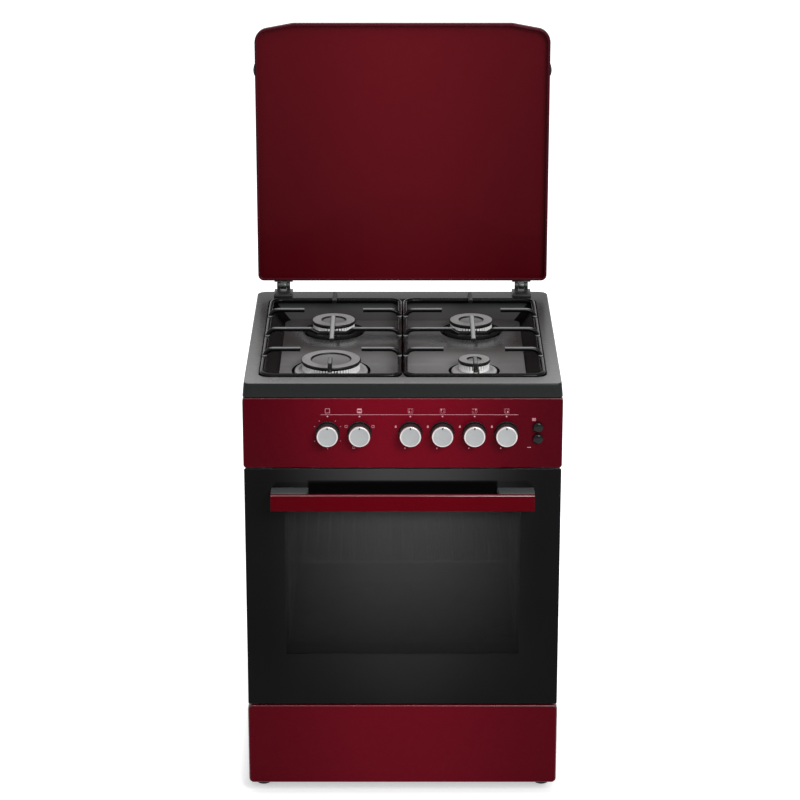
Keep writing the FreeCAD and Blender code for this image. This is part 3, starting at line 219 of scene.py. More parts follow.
soft_box("overhead_box", (0, -0.3, 3.4), (0, 0, 0), width=2.6, height=2.0, watts=15)
soft_box("front_box", (1.8, -4.0, 3.3), (0, 0, 0.5), width=2.4, height=1.8, watts=180)
soft_box("edge_strip", (0, -1.5, 3.3), (0, 0, 0.8), width=2.4, height=0.035, watts=9)
bpy.context.scene.view_settings.view_transform = "Standard"

camera_place = (-0.005, -5.323, 2.568)
camera_tilt = 19.12
lens = bpy.data.cameras.new("camera")
lens.lens, lens.sensor_width, lens.clip_end = 128.7, 36, 60
camera = into_scene("camera", lens)
camera.location = camera_place
camera.rotation_euler = (math.radians(90 - camera_tilt), 0, 0)
bpy.context.scene.camera = camera


# Cabinet shell: folded sheet-steel sides in charcoal paint, screwed to a galvanised back
# panel and base pan, with a galvanised face frame in front. It stands on four screw feet.

owner = {
    name: body
    for body, names in frame["record"]["behaviour"]["bodies"].items() for name in names
}


def make_piece(name, shape, finishes, stands_for=(), body=None, crease=32, thick=0, mend=True):
    """Makes the finished object: smooth with its creases kept, on its body, in its slot."""
    bmesh.ops.remove_doubles(shape, verts=shape.verts, dist=2e-6)
    if mend:
        bmesh.ops.recalc_face_normals(shape, faces=shape.faces)
    mesh = bpy.data.meshes.new(name)
    shape.to_mesh(mesh)
    shape.free()
    mesh.shade_smooth()
    mesh.set_sharp_from_angle(angle=math.radians(crease))
    for finish in finishes if isinstance(finishes, list) else [finishes]:
        mesh.materials.append(finish)
    piece = into_scene(name, mesh)
    if thick:
        wall = piece.modifiers.new("sheet", "SOLIDIFY")
        wall.thickness = thick
        wall.offset = -1
        wall.use_even_offset = True
    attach(piece, body or owner[stands_for[0]])
    if stands_for:
        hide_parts(*stands_for)


def round_edges(shape, edges, radius, segments=2):
    """Rounds some edges, by less where there is no room."""
    bmesh.ops.bevel(
        shape, geom=list(edges), offset=radius, offset_type="OFFSET", segments=segments,
        profile=0.5, affect="EDGES", clamp_overlap=True, material=-1,
    )


def sharp_edges(shape, crease=40):
    """The edges whose two faces turn by more than the crease."""
    return [
        e for e in shape.edges
        if len(e.link_faces) == 2 and e.calc_face_angle() > math.radians(crease)
    ]


def rounded_copy(node, radius):
    """The plain node as one merged skin with its sharp edges rounded."""
    shape = bmesh.new()
    shape.from_mesh(frame["nodes"][node].data)
    bmesh.ops.remove_doubles(shape, verts=shape.verts, dist=1e-5)
    bmesh.ops.dissolve_limit(
        shape, angle_limit=math.radians(0.5), verts=shape.verts, edges=shape.edges
    )
    if radius:
        round_edges(shape, sharp_edges(shape), radius)
    return shape


def carried(node, finish, radius=0.0):
    """A node that keeps its plain form, with softened edges and its finish."""
    make_piece(node + "_piece", rounded_copy(node, radius), finish, [node], mend=False)


def turned(shape, points, centre, axis, steps=64):
    """Spins an outline of (radius, height) points round an axis through the centre."""
    centre, axis = Vector(centre), Vector(axis)
    across = axis.orthogonal().normalized()
    corners = [shape.verts.new(centre + across * r + axis * h) for r, h in points]
    edges = [shape.edges.new(pair) for pair in zip(corners, corners[1:])]
    before = set(shape.verts)
    bmesh.ops.spin(
        shape, geom=corners + edges, cent=centre, axis=axis,
        angle=2 * math.pi, steps=steps, use_merge=True,
    )
    made = [v for v in shape.verts if v not in before] + corners
    bmesh.ops.remove_doubles(shape, verts=[v for v in made if v.is_valid], dist=1e-6)


def box_between(shape, low, high):
    """A block between two corners, as its vertices."""
    low, high = Vector(low), Vector(high)
    size = high - low
    made = bmesh.ops.create_cube(
        shape, size=1,
        matrix=Matrix.Translation((low + high) / 2) @ Matrix.Diagonal((*size, 1)),
    )
    return made["verts"]


def grained(name, tones, clouds, gloss, relief, **shader):
    """A finish with clouds of two close tones. Gloss is the least roughness, its span and its
    noise, relief is its depth and its noise, and a noise is what Finish.noise takes."""
    coat = Finish(name)
    least, span, *gloss_noise = gloss
    depth, *relief_noise = relief
    return coat.surface(
        Base_Color=coat.mix(coat.noise(*clouds), *tones),
        Roughness=least + coat.noise(*gloss_noise) * span,
        Normal=coat.bump(coat.noise(*relief_noise), depth),
        **shader,
    )


def powder_coat(name, tone, shade, smooth=0.42, dull=0.55, level=0.35):
    """Baked paint or moulded plastic: a faint cloudiness and a fine orange peel."""
    gloss = (smooth, dull - smooth, 30, 3)
    return grained(name, (tone, shade), (9, 4), gloss, (0.00008, 650, 2), Specular_IOR_Level=level)


def zinc(name, tone, shade, rough=0.38):
    """Hot-dip galvanised sheet: its crystals differ in tone and gloss."""
    sheet = Finish(name)
    crystal = sheet.add("TexVoronoi", {"feature": "F1"}, "Color", Vector=sheet.place(), Scale=70.0)
    facet = sheet.add("SeparateXYZ", output="X", Vector=crystal)
    scratch = sheet.noise(60, 3, stretch=(1, 1, 18))
    return sheet.surface(
        Base_Color=sheet.mix(facet * 0.7 + scratch * 0.3, tone, shade),
        Metallic=1.0,
        Roughness=rough + facet * 0.18,
        Normal=sheet.bump(scratch, 0.00003),
    )


cabinet_paint = powder_coat("cabinet_paint", paint(38, 38, 40), paint(30, 30, 32))
galvanised = zinc("galvanised_steel", paint(160, 163, 167), paint(134, 138, 143))

for side in ("side_panel_left", "side_panel_right"):
    carried(side, cabinet_paint, 0.0006)
for node, radius in (("base_pan", 0.0003), ("front_frame", 0.0003), ("drawer_runners", 0.0005)):
    carried(node, galvanised, radius)
carried("back_panel", galvanised, 0.0003)

# Pan-head screws with a sunk cross hold the back panel, down each side and along its top.
# The crosses are near-black blocks on the heads: painted shade in place of the sunk cross.
recess_painted_shade = powder_coat("recess_painted_shade", paint(14, 14, 14), paint(9, 9, 9), 0.7, 0.9, 0.1)
bright_screw = zinc("bright_screw", paint(190, 190, 192), paint(150, 150, 155), 0.3)
back_low, back_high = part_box("back_panel")
side_inset, end_inset, top_inset = 0.008, 0.03, 0.012
top_screw_xs = (-0.18, -0.06, 0.06, 0.18)
screw_pitch = (back_high.z - back_low.z - 2 * end_inset) / 4
screw_places = [
    (x, back_low.z + end_inset + step * screw_pitch)
    for x in (back_low.x + side_inset, back_high.x - side_inset) for step in range(5)
]
screw_places += [(x, back_high.z - top_inset) for x in top_screw_xs]
head, head_height = 0.0038, 0.00085
cross_reach, cross_half, cross_low, cross_high = 0.62 * head, 0.0005, 0.00005, 0.00095
heads = bmesh.new()
crosses = bmesh.new()
for x, z in screw_places:
    turned(
        heads,
        [(0, 0), (head, 0), (head, 0.0002), (head * 0.85, 0.0006), (head * 0.4, 0.0008),
         (0, head_height)],
        (x, back_high.y, z), (0, 1, 0), 20,
    )
    for wide, tall in ((cross_reach, cross_half), (cross_half, cross_reach)):
        box_between(
            crosses,
            (x - wide, back_high.y + cross_low, z - tall),
            (x + wide, back_high.y + cross_high, z + tall),
        )
make_piece("back_screws", heads, bright_screw, body="cabinet", crease=50)
make_piece("back_screws_cross", crosses, recess_painted_shade, body="cabinet")


# Feet: four moulded black pads with a ribbed waist to grip. Each turns on a screw through
# the base pan, so that the cooker can be set level.

foot_plastic = powder_coat("foot_plastic", paint(24, 24, 25), paint(18, 18, 18), 0.5, 0.62, 0.3)
foot_xs, foot_ys = (-0.274, 0.274), (-0.218, 0.262)
waist_low, waist_high, rib_cut = 0.0053, 0.0124, 0.0006
shape = bmesh.new()
for x in foot_xs:
    for y in foot_ys:
        turned(
            shape,
            [(0, 0), (0.0125, 0), (0.0138, 0.0006), (0.014, 0.0018), (0.014, 0.0045),
             (0.0132, 0.0052), (0.0132, 0.0125), (0.014, 0.0132), (0.014, 0.016),
             (0.0134, 0.017), (0.0068, 0.0174), (0.0065, 0.018), (0.0065, 0.026),
             (0.005, 0.026), (0.005, 0.0375), (0.0042, 0.038), (0, 0.038)],
            (x, y, 0), (0, 0, 1), 48,
        )
grips = [
    face for face in shape.faces
    if waist_low < face.calc_center_median().z < waist_high and face.calc_area() > 2e-6
]
bmesh.ops.inset_individual(shape, faces=grips[::2], thickness=0.0002, depth=-rib_cut)
make_piece("feet_piece", shape, foot_plastic, ["feet"], mend=False)


# Oven: a black speckled enamel box wrapped in mineral wool, with a wire ladder on each
# side, a chromed wire shelf, two heating elements, a lamp and a woven seal on the frame.

def vitreous(name, tone, fleck, rough=0.22, level=0.4):
    """Fired enamel: glossy, faintly wavy, with small pale flecks."""
    glaze = Finish(name)
    flecks = glaze.add("TexVoronoi", {"feature": "F1"}, "Distance", Vector=glaze.place(), Scale=330.0)
    dots = 1 - glaze.limit(flecks, 0.12, 0.2)
    sparse = glaze.limit(glaze.noise(120, 2), 0.5, 0.62)
    return glaze.surface(
        Base_Color=glaze.mix(dots * sparse, tone, fleck),
        Roughness=rough + glaze.noise(25, 3) * 0.12,
        Specular_IOR_Level=level,
        Normal=glaze.bump(glaze.noise(70, 2), 0.0002),
    )


oven_enamel = vitreous("oven_enamel", paint(34, 34, 38), paint(120, 124, 135))
carried("oven_cavity", oven_enamel, 0.0004)

wool = Finish("mineral_wool")
fibre = wool.noise(240, 6, 0.7, (1, 3, 1))
mineral_wool = wool.surface(
    Base_Color=wool.mix(fibre, paint(196, 178, 120), paint(150, 132, 84)),
    Roughness=0.95,
    Specular_IOR_Level=0.1,
    Normal=wool.bump(fibre + wool.noise(40, 4), 0.003),
)
carried("oven_insulation", mineral_wool, 0.003)

braid = Finish("seal_rubber")
strand = braid.add(
    "TexWave", {"wave_type": "BANDS", "bands_direction": "DIAGONAL"}, "Fac",
    Vector=braid.place(), Scale=160.0, Distortion=1.5, Detail=2.0,
)
seal_braid = braid.surface(
    Base_Color=braid.mix(strand, paint(48, 46, 44), paint(22, 21, 20)),
    Roughness=0.8,
    Specular_IOR_Level=0.2,
    Normal=braid.bump(strand, 0.0006),
)
carried("door_seal", seal_braid, 0.0026)

element_steel = grained(
    "element_steel", (paint(92, 86, 84), paint(56, 52, 58)), (26, 3),
    (0.45, 0.2, 300, 2), (0.00005, 900, 2), Metallic=0.8,
)


def rod(shape, points, radius, bends, closed=False, sides=3, steps=5):
    """Adds a round rod along straight runs, bent to a radius at each corner between them."""
    curve = bpy.data.curves.new("rod", "CURVE")
    curve.dimensions = "3D"
    curve.bevel_depth = radius
    curve.bevel_resolution = sides
    curve.use_fill_caps = True
    curve.resolution_u = steps
    count = len(points)
    corners = [Vector(p) for p in points]
    bends = bends if isinstance(bends, list) else [bends] * count
    knots = []
    for i, here in enumerate(corners):
        if not closed and i in (0, count - 1):
            knots.append((here, here, here))
            continue
        back = (corners[i - 1] - here).normalized()
        ahead = (corners[(i + 1) % count] - here).normalized()
        angle = back.angle(ahead)
        reach = bends[i] / math.tan(angle / 2)
        pull = 4 / 3 * math.tan((math.pi - angle) / 4) * bends[i]
        start, end = here + back * reach, here + ahead * reach
        knots.append((start, start, start - back * pull))
        knots.append((end - ahead * pull, end, end))
    spline = curve.splines.new("BEZIER")
    spline.bezier_points.add(len(knots) - 1)
    for knot, (left, middle, right) in zip(spline.bezier_points, knots):
        knot.handle_left_type = knot.handle_right_type = "FREE"
        knot.co, knot.handle_left, knot.handle_right = middle, left, right
    spline.use_cyclic_u = closed
    former = into_scene("rod", curve)
    bpy.context.view_layer.update()
    mesh = bpy.data.meshes.new_from_object(former)
    shape.from_mesh(mesh)
    bpy.data.meshes.remove(mesh)
    bpy.data.objects.remove(former)
    bpy.data.curves.remove(curve)


lead, lead_end, back, side, front = 0.04, 0.2139, 0.118, 0.18, -0.177
element_radius, element_bend, sleeve_foot = 0.0033, 0.024, 0.2062
for name, z in (("top_element", 0.594), ("bottom_element", 0.254)):
    shape = bmesh.new()
    rod(
        shape,
        [(-lead, lead_end, z), (-lead, back, z), (-side, back, z), (-side, front, z),
         (side, front, z), (side, back, z), (lead, back, z), (lead, lead_end, z)],
        element_radius, element_bend, steps=8,
    )
    for x in (-lead, lead):
        turned(
            shape,
            [(0, 0), (0.0012, 0), (0.0012, 0.008), (0.0034, 0.008), (0.0034, 0.016), (0, 0.016)],
            (x, sleeve_foot, z), (0, 1, 0), 20,
        )
    make_piece(name + "_piece", shape, element_steel, [name])

chrome = grained(
    "chrome_wire", (paint(214, 214, 216), paint(186, 187, 190)), (50, 3),
    (0.32, 0.14, 50, 3), (0.00002, 500, 2), Metallic=0.5,
)
shelf_low, shelf_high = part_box("wire_shelf")
shape = bmesh.new()
frame_wire, wire_bend, cross_wire, wires = 0.003, 0.012, 0.0016, 17
shelf_z = (shelf_low.z + shelf_high.z) / 2
side, near, far = shelf_high.x - frame_wire, shelf_low.y + frame_wire, shelf_high.y - frame_wire
rod(
    shape,
    [(side, near, shelf_z), (side, far, shelf_z), (-side, far, shelf_z), (-side, near, shelf_z)],
    frame_wire, wire_bend, closed=True,
)
for step in range(1, wires + 1):
    x = (2 * step / (wires + 1) - 1) * side
    rod(shape, [(x, near, shelf_z), (x, far, shelf_z)], cross_wire, 0, sides=1, steps=1)
make_piece("wire_shelf_piece", shape, chrome, ["wire_shelf"])
carried("shelf_rails", chrome)

pane = Finish("lamp_glass")
ripple = pane.add("TexVoronoi", {"feature": "SMOOTH_F1"}, "Distance", Vector=pane.place(), Scale=320.0)
lamp_glass = pane.surface(
    Base_Color=pane.mix(ripple, paint(246, 240, 220), paint(226, 218, 190)),
    Roughness=0.15,
    Emission_Color=pane.mix(ripple, (1, 0.86, 0.62, 1), (0.8, 0.62, 0.4, 1)),
    Emission_Strength=0.02,
    Normal=pane.bump(ripple, 0.001),
)
lamp_x, lamp_front, lamp_z = -0.15, 0.158, 0.542
shape = bmesh.new()
turned(
    shape,
    [(0, 0), (0.008, 0.0004), (0.0145, 0.0018), (0.0185, 0.0045), (0.02, 0.0085), (0.0202, 0.0105),
     (0.022, 0.0112), (0.022, 0.0146), (0.0214, 0.015), (0.019, 0.015), (0.019, 0.0445),
     (0.018, 0.045), (0, 0.045)],
    (lamp_x, lamp_front, lamp_z), (0, 1, 0),
)
make_piece("oven_lamp_piece", shape, lamp_glass, ["oven_lamp"])


# Gas and mains supply behind the panel: a steel rail with four brass taps, thin aluminium
# pipes to the burners, and a moulded terminal block behind the back panel's window.

def cast(name, tone, shade, rough):
    """Cast or drawn metal with a fine grain."""
    grain = (420, 3)
    return grained(
        name, (tone, shade), (35, 4), (rough, 0.16, *grain), (0.00008, *grain), Metallic=1.0
    )


pipe_steel = zinc("pipe_steel", paint(176, 176, 178), paint(132, 134, 138), 0.34)
valve_brass = cast("valve_brass", paint(206, 172, 96), paint(166, 132, 66), 0.3)
tube_aluminium = cast("tube_aluminium", paint(196, 198, 202), paint(160, 163, 168), 0.32)
carried("gas_manifold", pipe_steel)
carried("gas_valves", valve_brass, 0.0012)
carried("burner_tubes", tube_aluminium)
moulding = powder_coat("moulded_black", paint(30, 30, 31), paint(22, 22, 23), 0.45, 0.6)
carried("mains_terminal_block", moulding, 0.001)
carried("oven_switches", moulding, 0.0006)


# Control panel: a steel fascia with rounded corners and rolled edges, in dark red gloss
# paint, with fine pale marks printed over and round the knobs.

def gloss_red(name, middle, side, flake, level=0.04, rough=0.22, form=None):
    """Red gloss paint over steel with fine flake and an orange peel, and a painted sheen: lighter
    in the middle and darker towards the sides. The rolled edges of a front take it with a higher gloss
    level."""
    coat = Finish(name)
    cells = coat.add("TexVoronoi", {"feature": "F1"}, "Color", Vector=coat.place(), Scale=1400.0)
    glint = coat.add("SeparateXYZ", output="Y", Vector=cells)
    # Painted sheen and shade: the mask lightens the middle and darkens the sides.
    painted_shade = form(coat) if form else coat.sideways()
    body = coat.mix(painted_shade * 0.92 + coat.noise(3.5, 3) * 0.08, middle, side)
    return coat.surface(
        Base_Color=coat.mix(glint * 0.25, body, flake),
        Roughness=rough + coat.noise(22, 3) * 0.1,
        Specular_IOR_Level=level,
        Normal=coat.bump(coat.noise(420, 2), 0.00005),
    )


red_paint = gloss_red("red_paint", paint(109, 7, 26), paint(62, 0, 10), paint(90, 4, 18), 0.03)
red_edge = gloss_red("red_edge", paint(96, 8, 22), paint(66, 2, 12), paint(80, 5, 18), 0.5)


def edges_along(shape, axis):
    """The edges of a block that run along an axis."""
    return [e for e in shape.edges if abs(e.verts[0].co[axis] - e.verts[1].co[axis]) > 0.001]


def edge_faces(shape, low=0.12, high=0.96):
    """Gives the rounded edges of a front the second finish."""
    for face in shape.faces:
        if low < -face.normal.y < high:
            face.material_index = 1


def folded_front(low, high, corner, edge, segments=4):
    """A pressed front with rounded corners and rolled edges, open at the back."""
    shape = bmesh.new()
    box_between(shape, low, high)
    round_edges(shape, edges_along(shape, 1), corner, 6)
    back = [f for f in shape.faces if f.normal.y > 0.9]
    bmesh.ops.delete(shape, geom=back, context="FACES")
    rim = [e for e in sharp_edges(shape, 60) if all(v.co.y < low[1] + 1e-5 for v in e.verts)]
    round_edges(shape, rim, edge, segments)
    shape.normal_update()
    edge_faces(shape)
    return shape


panel_low, panel_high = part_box("control_panel")
panel_shape = folded_front(panel_low, panel_high, 0.0055, 0.0016)
make_piece(
    "control_panel_piece", panel_shape, [red_paint, red_edge], ["control_panel"],
    thick=0.001, mend=False,
)

face_y = panel_low.y
knob_boxes = [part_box(f"knob_{number}") for number in range(1, 7)]
knob_xs = [(low.x + high.x) / 2 for low, high in knob_boxes]
knob_z = 0.754
ink_depth = 0.00006
prints = bmesh.new()


def bar(x, z, wide, tall, turn=0):
    """One printed bar round its middle."""
    size = Matrix.Diagonal((wide, 2 * ink_depth, tall, 1))
    place = Matrix.Translation((x, face_y, z)) @ Matrix.Rotation(turn, 4, "Y") @ size
    bmesh.ops.create_cube(prints, size=1, matrix=place)


def dot(x, z, radius):
    """One printed dot."""
    place = Matrix.Translation((x, face_y + ink_depth, z)) @ Matrix.Rotation(math.pi / 2, 4, "X")
    disc = bmesh.ops.create_circle(prints, cap_ends=True, segments=16, radius=radius, matrix=place)
    face = disc["verts"][0].link_faces[0]
    raised = bmesh.ops.extrude_face_region(prints, geom=[face])["geom"]
    for vert in raised:
        if isinstance(vert, bmesh.types.BMVert):
            vert.co.y = face_y - ink_depth


def hollow_square(x, z, half, line):
    """Four printed bars round a square."""
    for sign in (-1, 1):
        bar(x, z + sign * half, 2 * half, line)
        bar(x + sign * half, z, line, 2 * half)


def flame(x, z, size):
    """A drop-shaped flame mark."""
    dot(x, z - size * 0.25, size * 0.55)
    bar(x, z + size * 0.35, size * 0.6, size * 0.6, math.pi / 4)


stroke, tick = 0.0007, 0.0026
rule_left, rule_right, rule_z = -0.1537, 0.2166, 0.7899
icon_z, pointer_z = 0.7975, 0.7864
high_z, low_z = 0.7665, 0.7236
bar((rule_left + rule_right) / 2, rule_z, rule_right - rule_left, stroke)
for number, x in enumerate(knob_xs):
    bar(x, pointer_z, tick, tick, math.pi / 4)
    if number < 2:
        hollow_square(x, icon_z, 0.0042, stroke)
        if number:
            for z in (icon_z - 0.0026, icon_z + 0.0027):
                bar(x, z, 0.0084, 0.002)
        continue
    filled = [(-1, -1), (-1, 1), (1, 1), (1, -1)][number - 2]
    hollow_square(x, icon_z, 0.0044, 0.0003)
    for across in (-1, 1):
        for up in (-1, 1):
            big = (across, up) == filled
            dot(x + across * 0.0021, icon_z + up * 0.0021, 0.0014 if big else 0.0006)
    flame(x - 0.0274, high_z, 0.0034)
    flame(x - 0.0103, low_z, 0.0024)
for across, z in ((0.015, 0.7774), (0.0243, high_z), (0.0243, 0.7376)):
    for sign in (-1, 1):
        turn = -sign * math.atan2(z - knob_z, across)
        bar(knob_xs[0] + sign * across, z, tick, stroke, turn)
bar(knob_xs[0], 0.7226, stroke, tick)
for across in (-0.0252, 0.0252):
    hollow_square(knob_xs[1] + across, high_z, 0.0022, 0.0006)
hollow_square(knob_xs[1] - 0.0112, low_z + 0.001, 0.002, 0.0006)
grid_x, grid_z, grid_wide, grid_tall = 0.2457, 0.7804, 0.003, 0.0023
for step in (-1, 0, 1):
    bar(grid_x + step * grid_wide, grid_z, 0.0012, 2 * grid_tall)
    bar(grid_x, grid_z + step * grid_tall, 0.0072, 0.001)
dash_x, dash_z = 0.2371, 0.72505
bar(dash_x, dash_z, 0.007, 0.0011)
ink = Finish("pale_ink")
wear = ink.noise(900, 3)
pale_ink = ink.surface(
    Base_Color=ink.mix(wear, paint(226, 166, 178), paint(196, 128, 142)),
    Roughness=0.5 + wear * 0.2,
    Specular_IOR_Level=0.2,
)
make_piece("panel_print", prints, pale_ink, body="cabinet")


# Knob bezels: black gloss rings of moulded plastic, pressed into the panel. Each has a fine
# raised rim and a hole for its spindle.

def gloss_black(name, tone, level=0.5, rough=0.14):
    """Moulded black plastic with a polished face and faint wipe marks."""
    wipes = (80, 3, 0.5, (1, 1, 4))
    return grained(
        name, (tone, paint(12, 12, 13)), wipes, (rough, 0.1, *wipes), (0.00003, 600, 2),
        Specular_IOR_Level=level,
    )


bezel_black = gloss_black("bezel_plastic", paint(24, 22, 24), 0.35, 0.22)
shape = bmesh.new()
for x in knob_xs:
    turned(
        shape,
        [(0.006, 0), (0.0225, 0), (0.0228, 0.0004), (0.0228, 0.0015), (0.0225, 0.0022),
         (0.0221, 0.0025), (0.0217, 0.0023), (0.0213, 0.0014), (0.012, 0.0012), (0.006, 0.0014),
         (0.006, 0)],
        (x, face_y, knob_z), (0, -1, 0), 72,
    )
make_piece("knob_bezels_piece", shape, bezel_black, ["knob_bezels"])


# Knobs: black moulded skirts with a satin silver face plate let into each, a bevelled rim
# round the plate and a black pointer at its top.

skirt_black = powder_coat("knob_skirt", paint(44, 42, 43), paint(34, 33, 34), 0.38, 0.5)


def satin_silver(name, tone, shade, metallic, rough):
    """Fine-grained silver plating on plastic."""
    satin = (700, 2)
    return grained(
        name, (tone, shade), (60, 3), (rough, 0.12, *satin), (0.00003, *satin), Metallic=metallic
    )


knob_silver = satin_silver("knob_silver", paint(158, 160, 161), paint(146, 148, 150), 0.25, 0.42)
knob_rim = satin_silver("knob_rim", paint(196, 189, 189), paint(180, 174, 174), 0.8, 0.26)
pointer_black = gloss_black("pointer_black", paint(16, 16, 16), 0.3, 0.3)
knob_back = knob_boxes[0][1].y
plate_face, plate_edge = 0.0187, 0.0174
pointer_low, pointer_high, pointer_half, pointer_proud = 0.0146, 0.0184, 0.0012, 0.00028
for number, x in enumerate(knob_xs, 1):
    centre = (x, knob_back, knob_z)
    shape = bmesh.new()
    turned(
        shape,
        [(0.00405, 0), (0.0204, 0), (0.0208, 0.0004), (0.0208, 0.002), (0.0204, 0.0148),
         (0.02, 0.0152), (0, 0.0152), (0, 0.014), (0.00405, 0.014), (0.00405, 0)],
        centre, (0, -1, 0), 80,
    )
    skirt = set(shape.faces)
    turned(
        shape,
        [(0, 0.015), (0.0199, 0.015), (0.0202, 0.0153), (0.0201, 0.0176), (0.0197, 0.0184),
         (0.019, 0.0189), (0.0184, 0.019), (0.0179, 0.0189), (plate_edge, plate_face),
         (0, plate_face)],
        centre, (0, -1, 0), 80,
    )
    plate = set(shape.faces) - skirt
    for face in plate:
        middle = face.calc_center_median()
        out = math.dist((middle.x, middle.z), (x, knob_z))
        face.material_index = 3 if out > plate_edge else 1
    box_between(
        shape,
        (x - pointer_half, knob_back - plate_face - pointer_proud, knob_z + pointer_low),
        (x + pointer_half, knob_back - plate_face + 0.0002, knob_z + pointer_high),
    )
    for face in set(shape.faces) - skirt - plate:
        face.material_index = 2
    make_piece(
        f"knob_{number}_piece", shape, [skirt_black, knob_silver, pointer_black, knob_rim],
        [f"knob_{number}"],
    )
spindle_steel = cast("spindle_steel", paint(190, 190, 192), paint(150, 150, 154), 0.28)
for number in range(3, 7):
    carried(f"gas_spindle_{number}", spindle_steel, 0.0004)


# Push buttons: black gloss domes of moulded plastic, one above the other. Each travels
# into the panel on a thin stem that works the switch behind.

button_black = gloss_black("button_plastic", paint(9, 9, 10), 0.16, 0.08)
stem, button, stem_end, dome_foot, dome = 0.003, 0.0095, 0.012, 0.0245, 0.0035
for node in ("ignition_button", "lamp_button"):
    low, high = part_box(node)
    centre = ((low.x + high.x) / 2, high.y, (low.z + high.z) / 2)
    shape = bmesh.new()
    outline = [(0, 0), (stem, 0), (stem, stem_end), (button, stem_end), (button, dome_foot)]
    for step in range(1, 9):
        angle = step / 8 * math.pi / 2
        outline.append((button * math.cos(angle), dome_foot + dome * math.sin(angle)))
    turned(shape, outline, centre, (0, -1, 0), 48)
    make_piece(node + "_piece", shape, button_black, [node])


# Hob top: one steel pressing in dark vitreous enamel, with a flat rim, a deep basin with
# sloping sides and a round well for each burner.

def ring_edges(ring):
    inside = set(ring)
    return list({e for v in ring for e in v.link_edges if e.other_vert(v) in inside})


def level_circle(shape, x, y, z, radius, segments=96):
    """A level ring of edges."""
    ring = bmesh.ops.create_circle(
        shape, cap_ends=False, segments=segments, radius=radius,
        matrix=Matrix.Translation((x, y, z)) @ Matrix.Rotation(math.pi / segments, 4, "Z"),
    )["verts"]
    return ring_edges(ring)


def onto_row(point, before, after):
    """Moves a point from one rounded rectangle to the next: its quarter keeps its turn.
    A row is half the width, the near and far edge, the height, and the near and far radius."""
    near_or_far = 5 if point.y > (before[1] + before[2]) / 2 else 4
    radius, new_radius = before[near_or_far], after[near_or_far]
    edges = [(-r[0], r[0]) for r in (before, after)], [r[1:3] for r in (before, after)]
    moved = []
    for axis, ((low, high), (new_low, new_high)) in enumerate(edges):
        if point[axis] > (low + high) / 2:
            edge, new_edge, sign = high, new_high, 1
        else:
            edge, new_edge, sign = low, new_low, -1
        turn = (point[axis] - edge) / radius + sign
        moved.append(new_edge + (turn - sign) * new_radius)
    return Vector((*moved, after[3]))


def drawn_out(shape, ring, rows, move):
    """Draws a ring of edges through the rows, and gives each course's faces and the last ring."""
    courses = []
    for before, after in zip(rows, rows[1:]):
        made = bmesh.ops.extrude_edge_only(shape, edges=ring)["geom"]
        fresh = [v for v in made if isinstance(v, bmesh.types.BMVert)]
        for vert in fresh:
            vert.co = move(vert.co, before, after)
        ring = ring_edges(fresh)
        courses.append([e.link_faces[0] for e in ring])
    return courses, ring


def circle_move(x, y):
    """Gives the move between rows of (radius, height) round an upright axis."""
    def move(point, before, after):
        grow = after[0] / before[0]
        return Vector((x + (point.x - x) * grow, y + (point.y - y) * grow, after[1]))
    return move


def eased(rows, reaches, steps=5):
    """The rows of a pressing with the bends between them rounded over a reach."""
    result = [rows[0]]
    for before, here, after, reach in zip(rows, rows[1:], rows[2:], reaches):
        ends = []
        for other in (before, after):
            run = math.dist((here[0], here[3]), (other[0], other[3])) or 1e-9
            share = min(0.45, reach / run)
            ends.append([a + (b - a) * share for a, b in zip(here, other)])
        for step in range(steps + 1):
            t = step / steps
            weights = ((1 - t) ** 2, 2 * t * (1 - t), t * t)
            result.append([
                sum(w * v for w, v in zip(weights, three))
                for three in zip(ends[0], here, ends[1])
            ])
    result.append(rows[-1])
    return result


rim_z, floor_z, skirt_z = 0.850, 0.826, 0.823
hob_rows = [
    (0.286, -0.262, 0.308, skirt_z, 0.010, 0.010),
    (0.300, -0.276, 0.322, skirt_z, 0.010, 0.018),
    (0.2975, -0.272, 0.319, rim_z, 0.010, 0.018),
    (0.272, -0.236, 0.262, rim_z, 0.022, 0.022),
    (0.271, -0.235, 0.261, rim_z - 0.002, 0.021, 0.021),
    (0.236, -0.221, 0.195, floor_z, 0.021, 0.021),
    (0.234, -0.219, 0.193, floor_z, 0.019, 0.019),
]
basin_half, basin_near, basin_far = hob_rows[3][:3]
# Each burner's place, the radius of its cap, its flame slots and the radius of the cap's dish.
burner_x, burner_y = 0.137, 0.125
burners = {
    "front_left": (-burner_x, -burner_y, 0.0575, 60, 0.038),
    "rear_left": (-burner_x, burner_y, 0.0435, 45, 0.024),
    "rear_right": (burner_x, burner_y, 0.0435, 45, 0.024),
    "front_right": (burner_x, -burner_y, 0.031, 32, 0.0136),
}
burner_places = [burner[:3] for burner in burners.values()]
well_margin, gas_hole = 0.018, 0.024

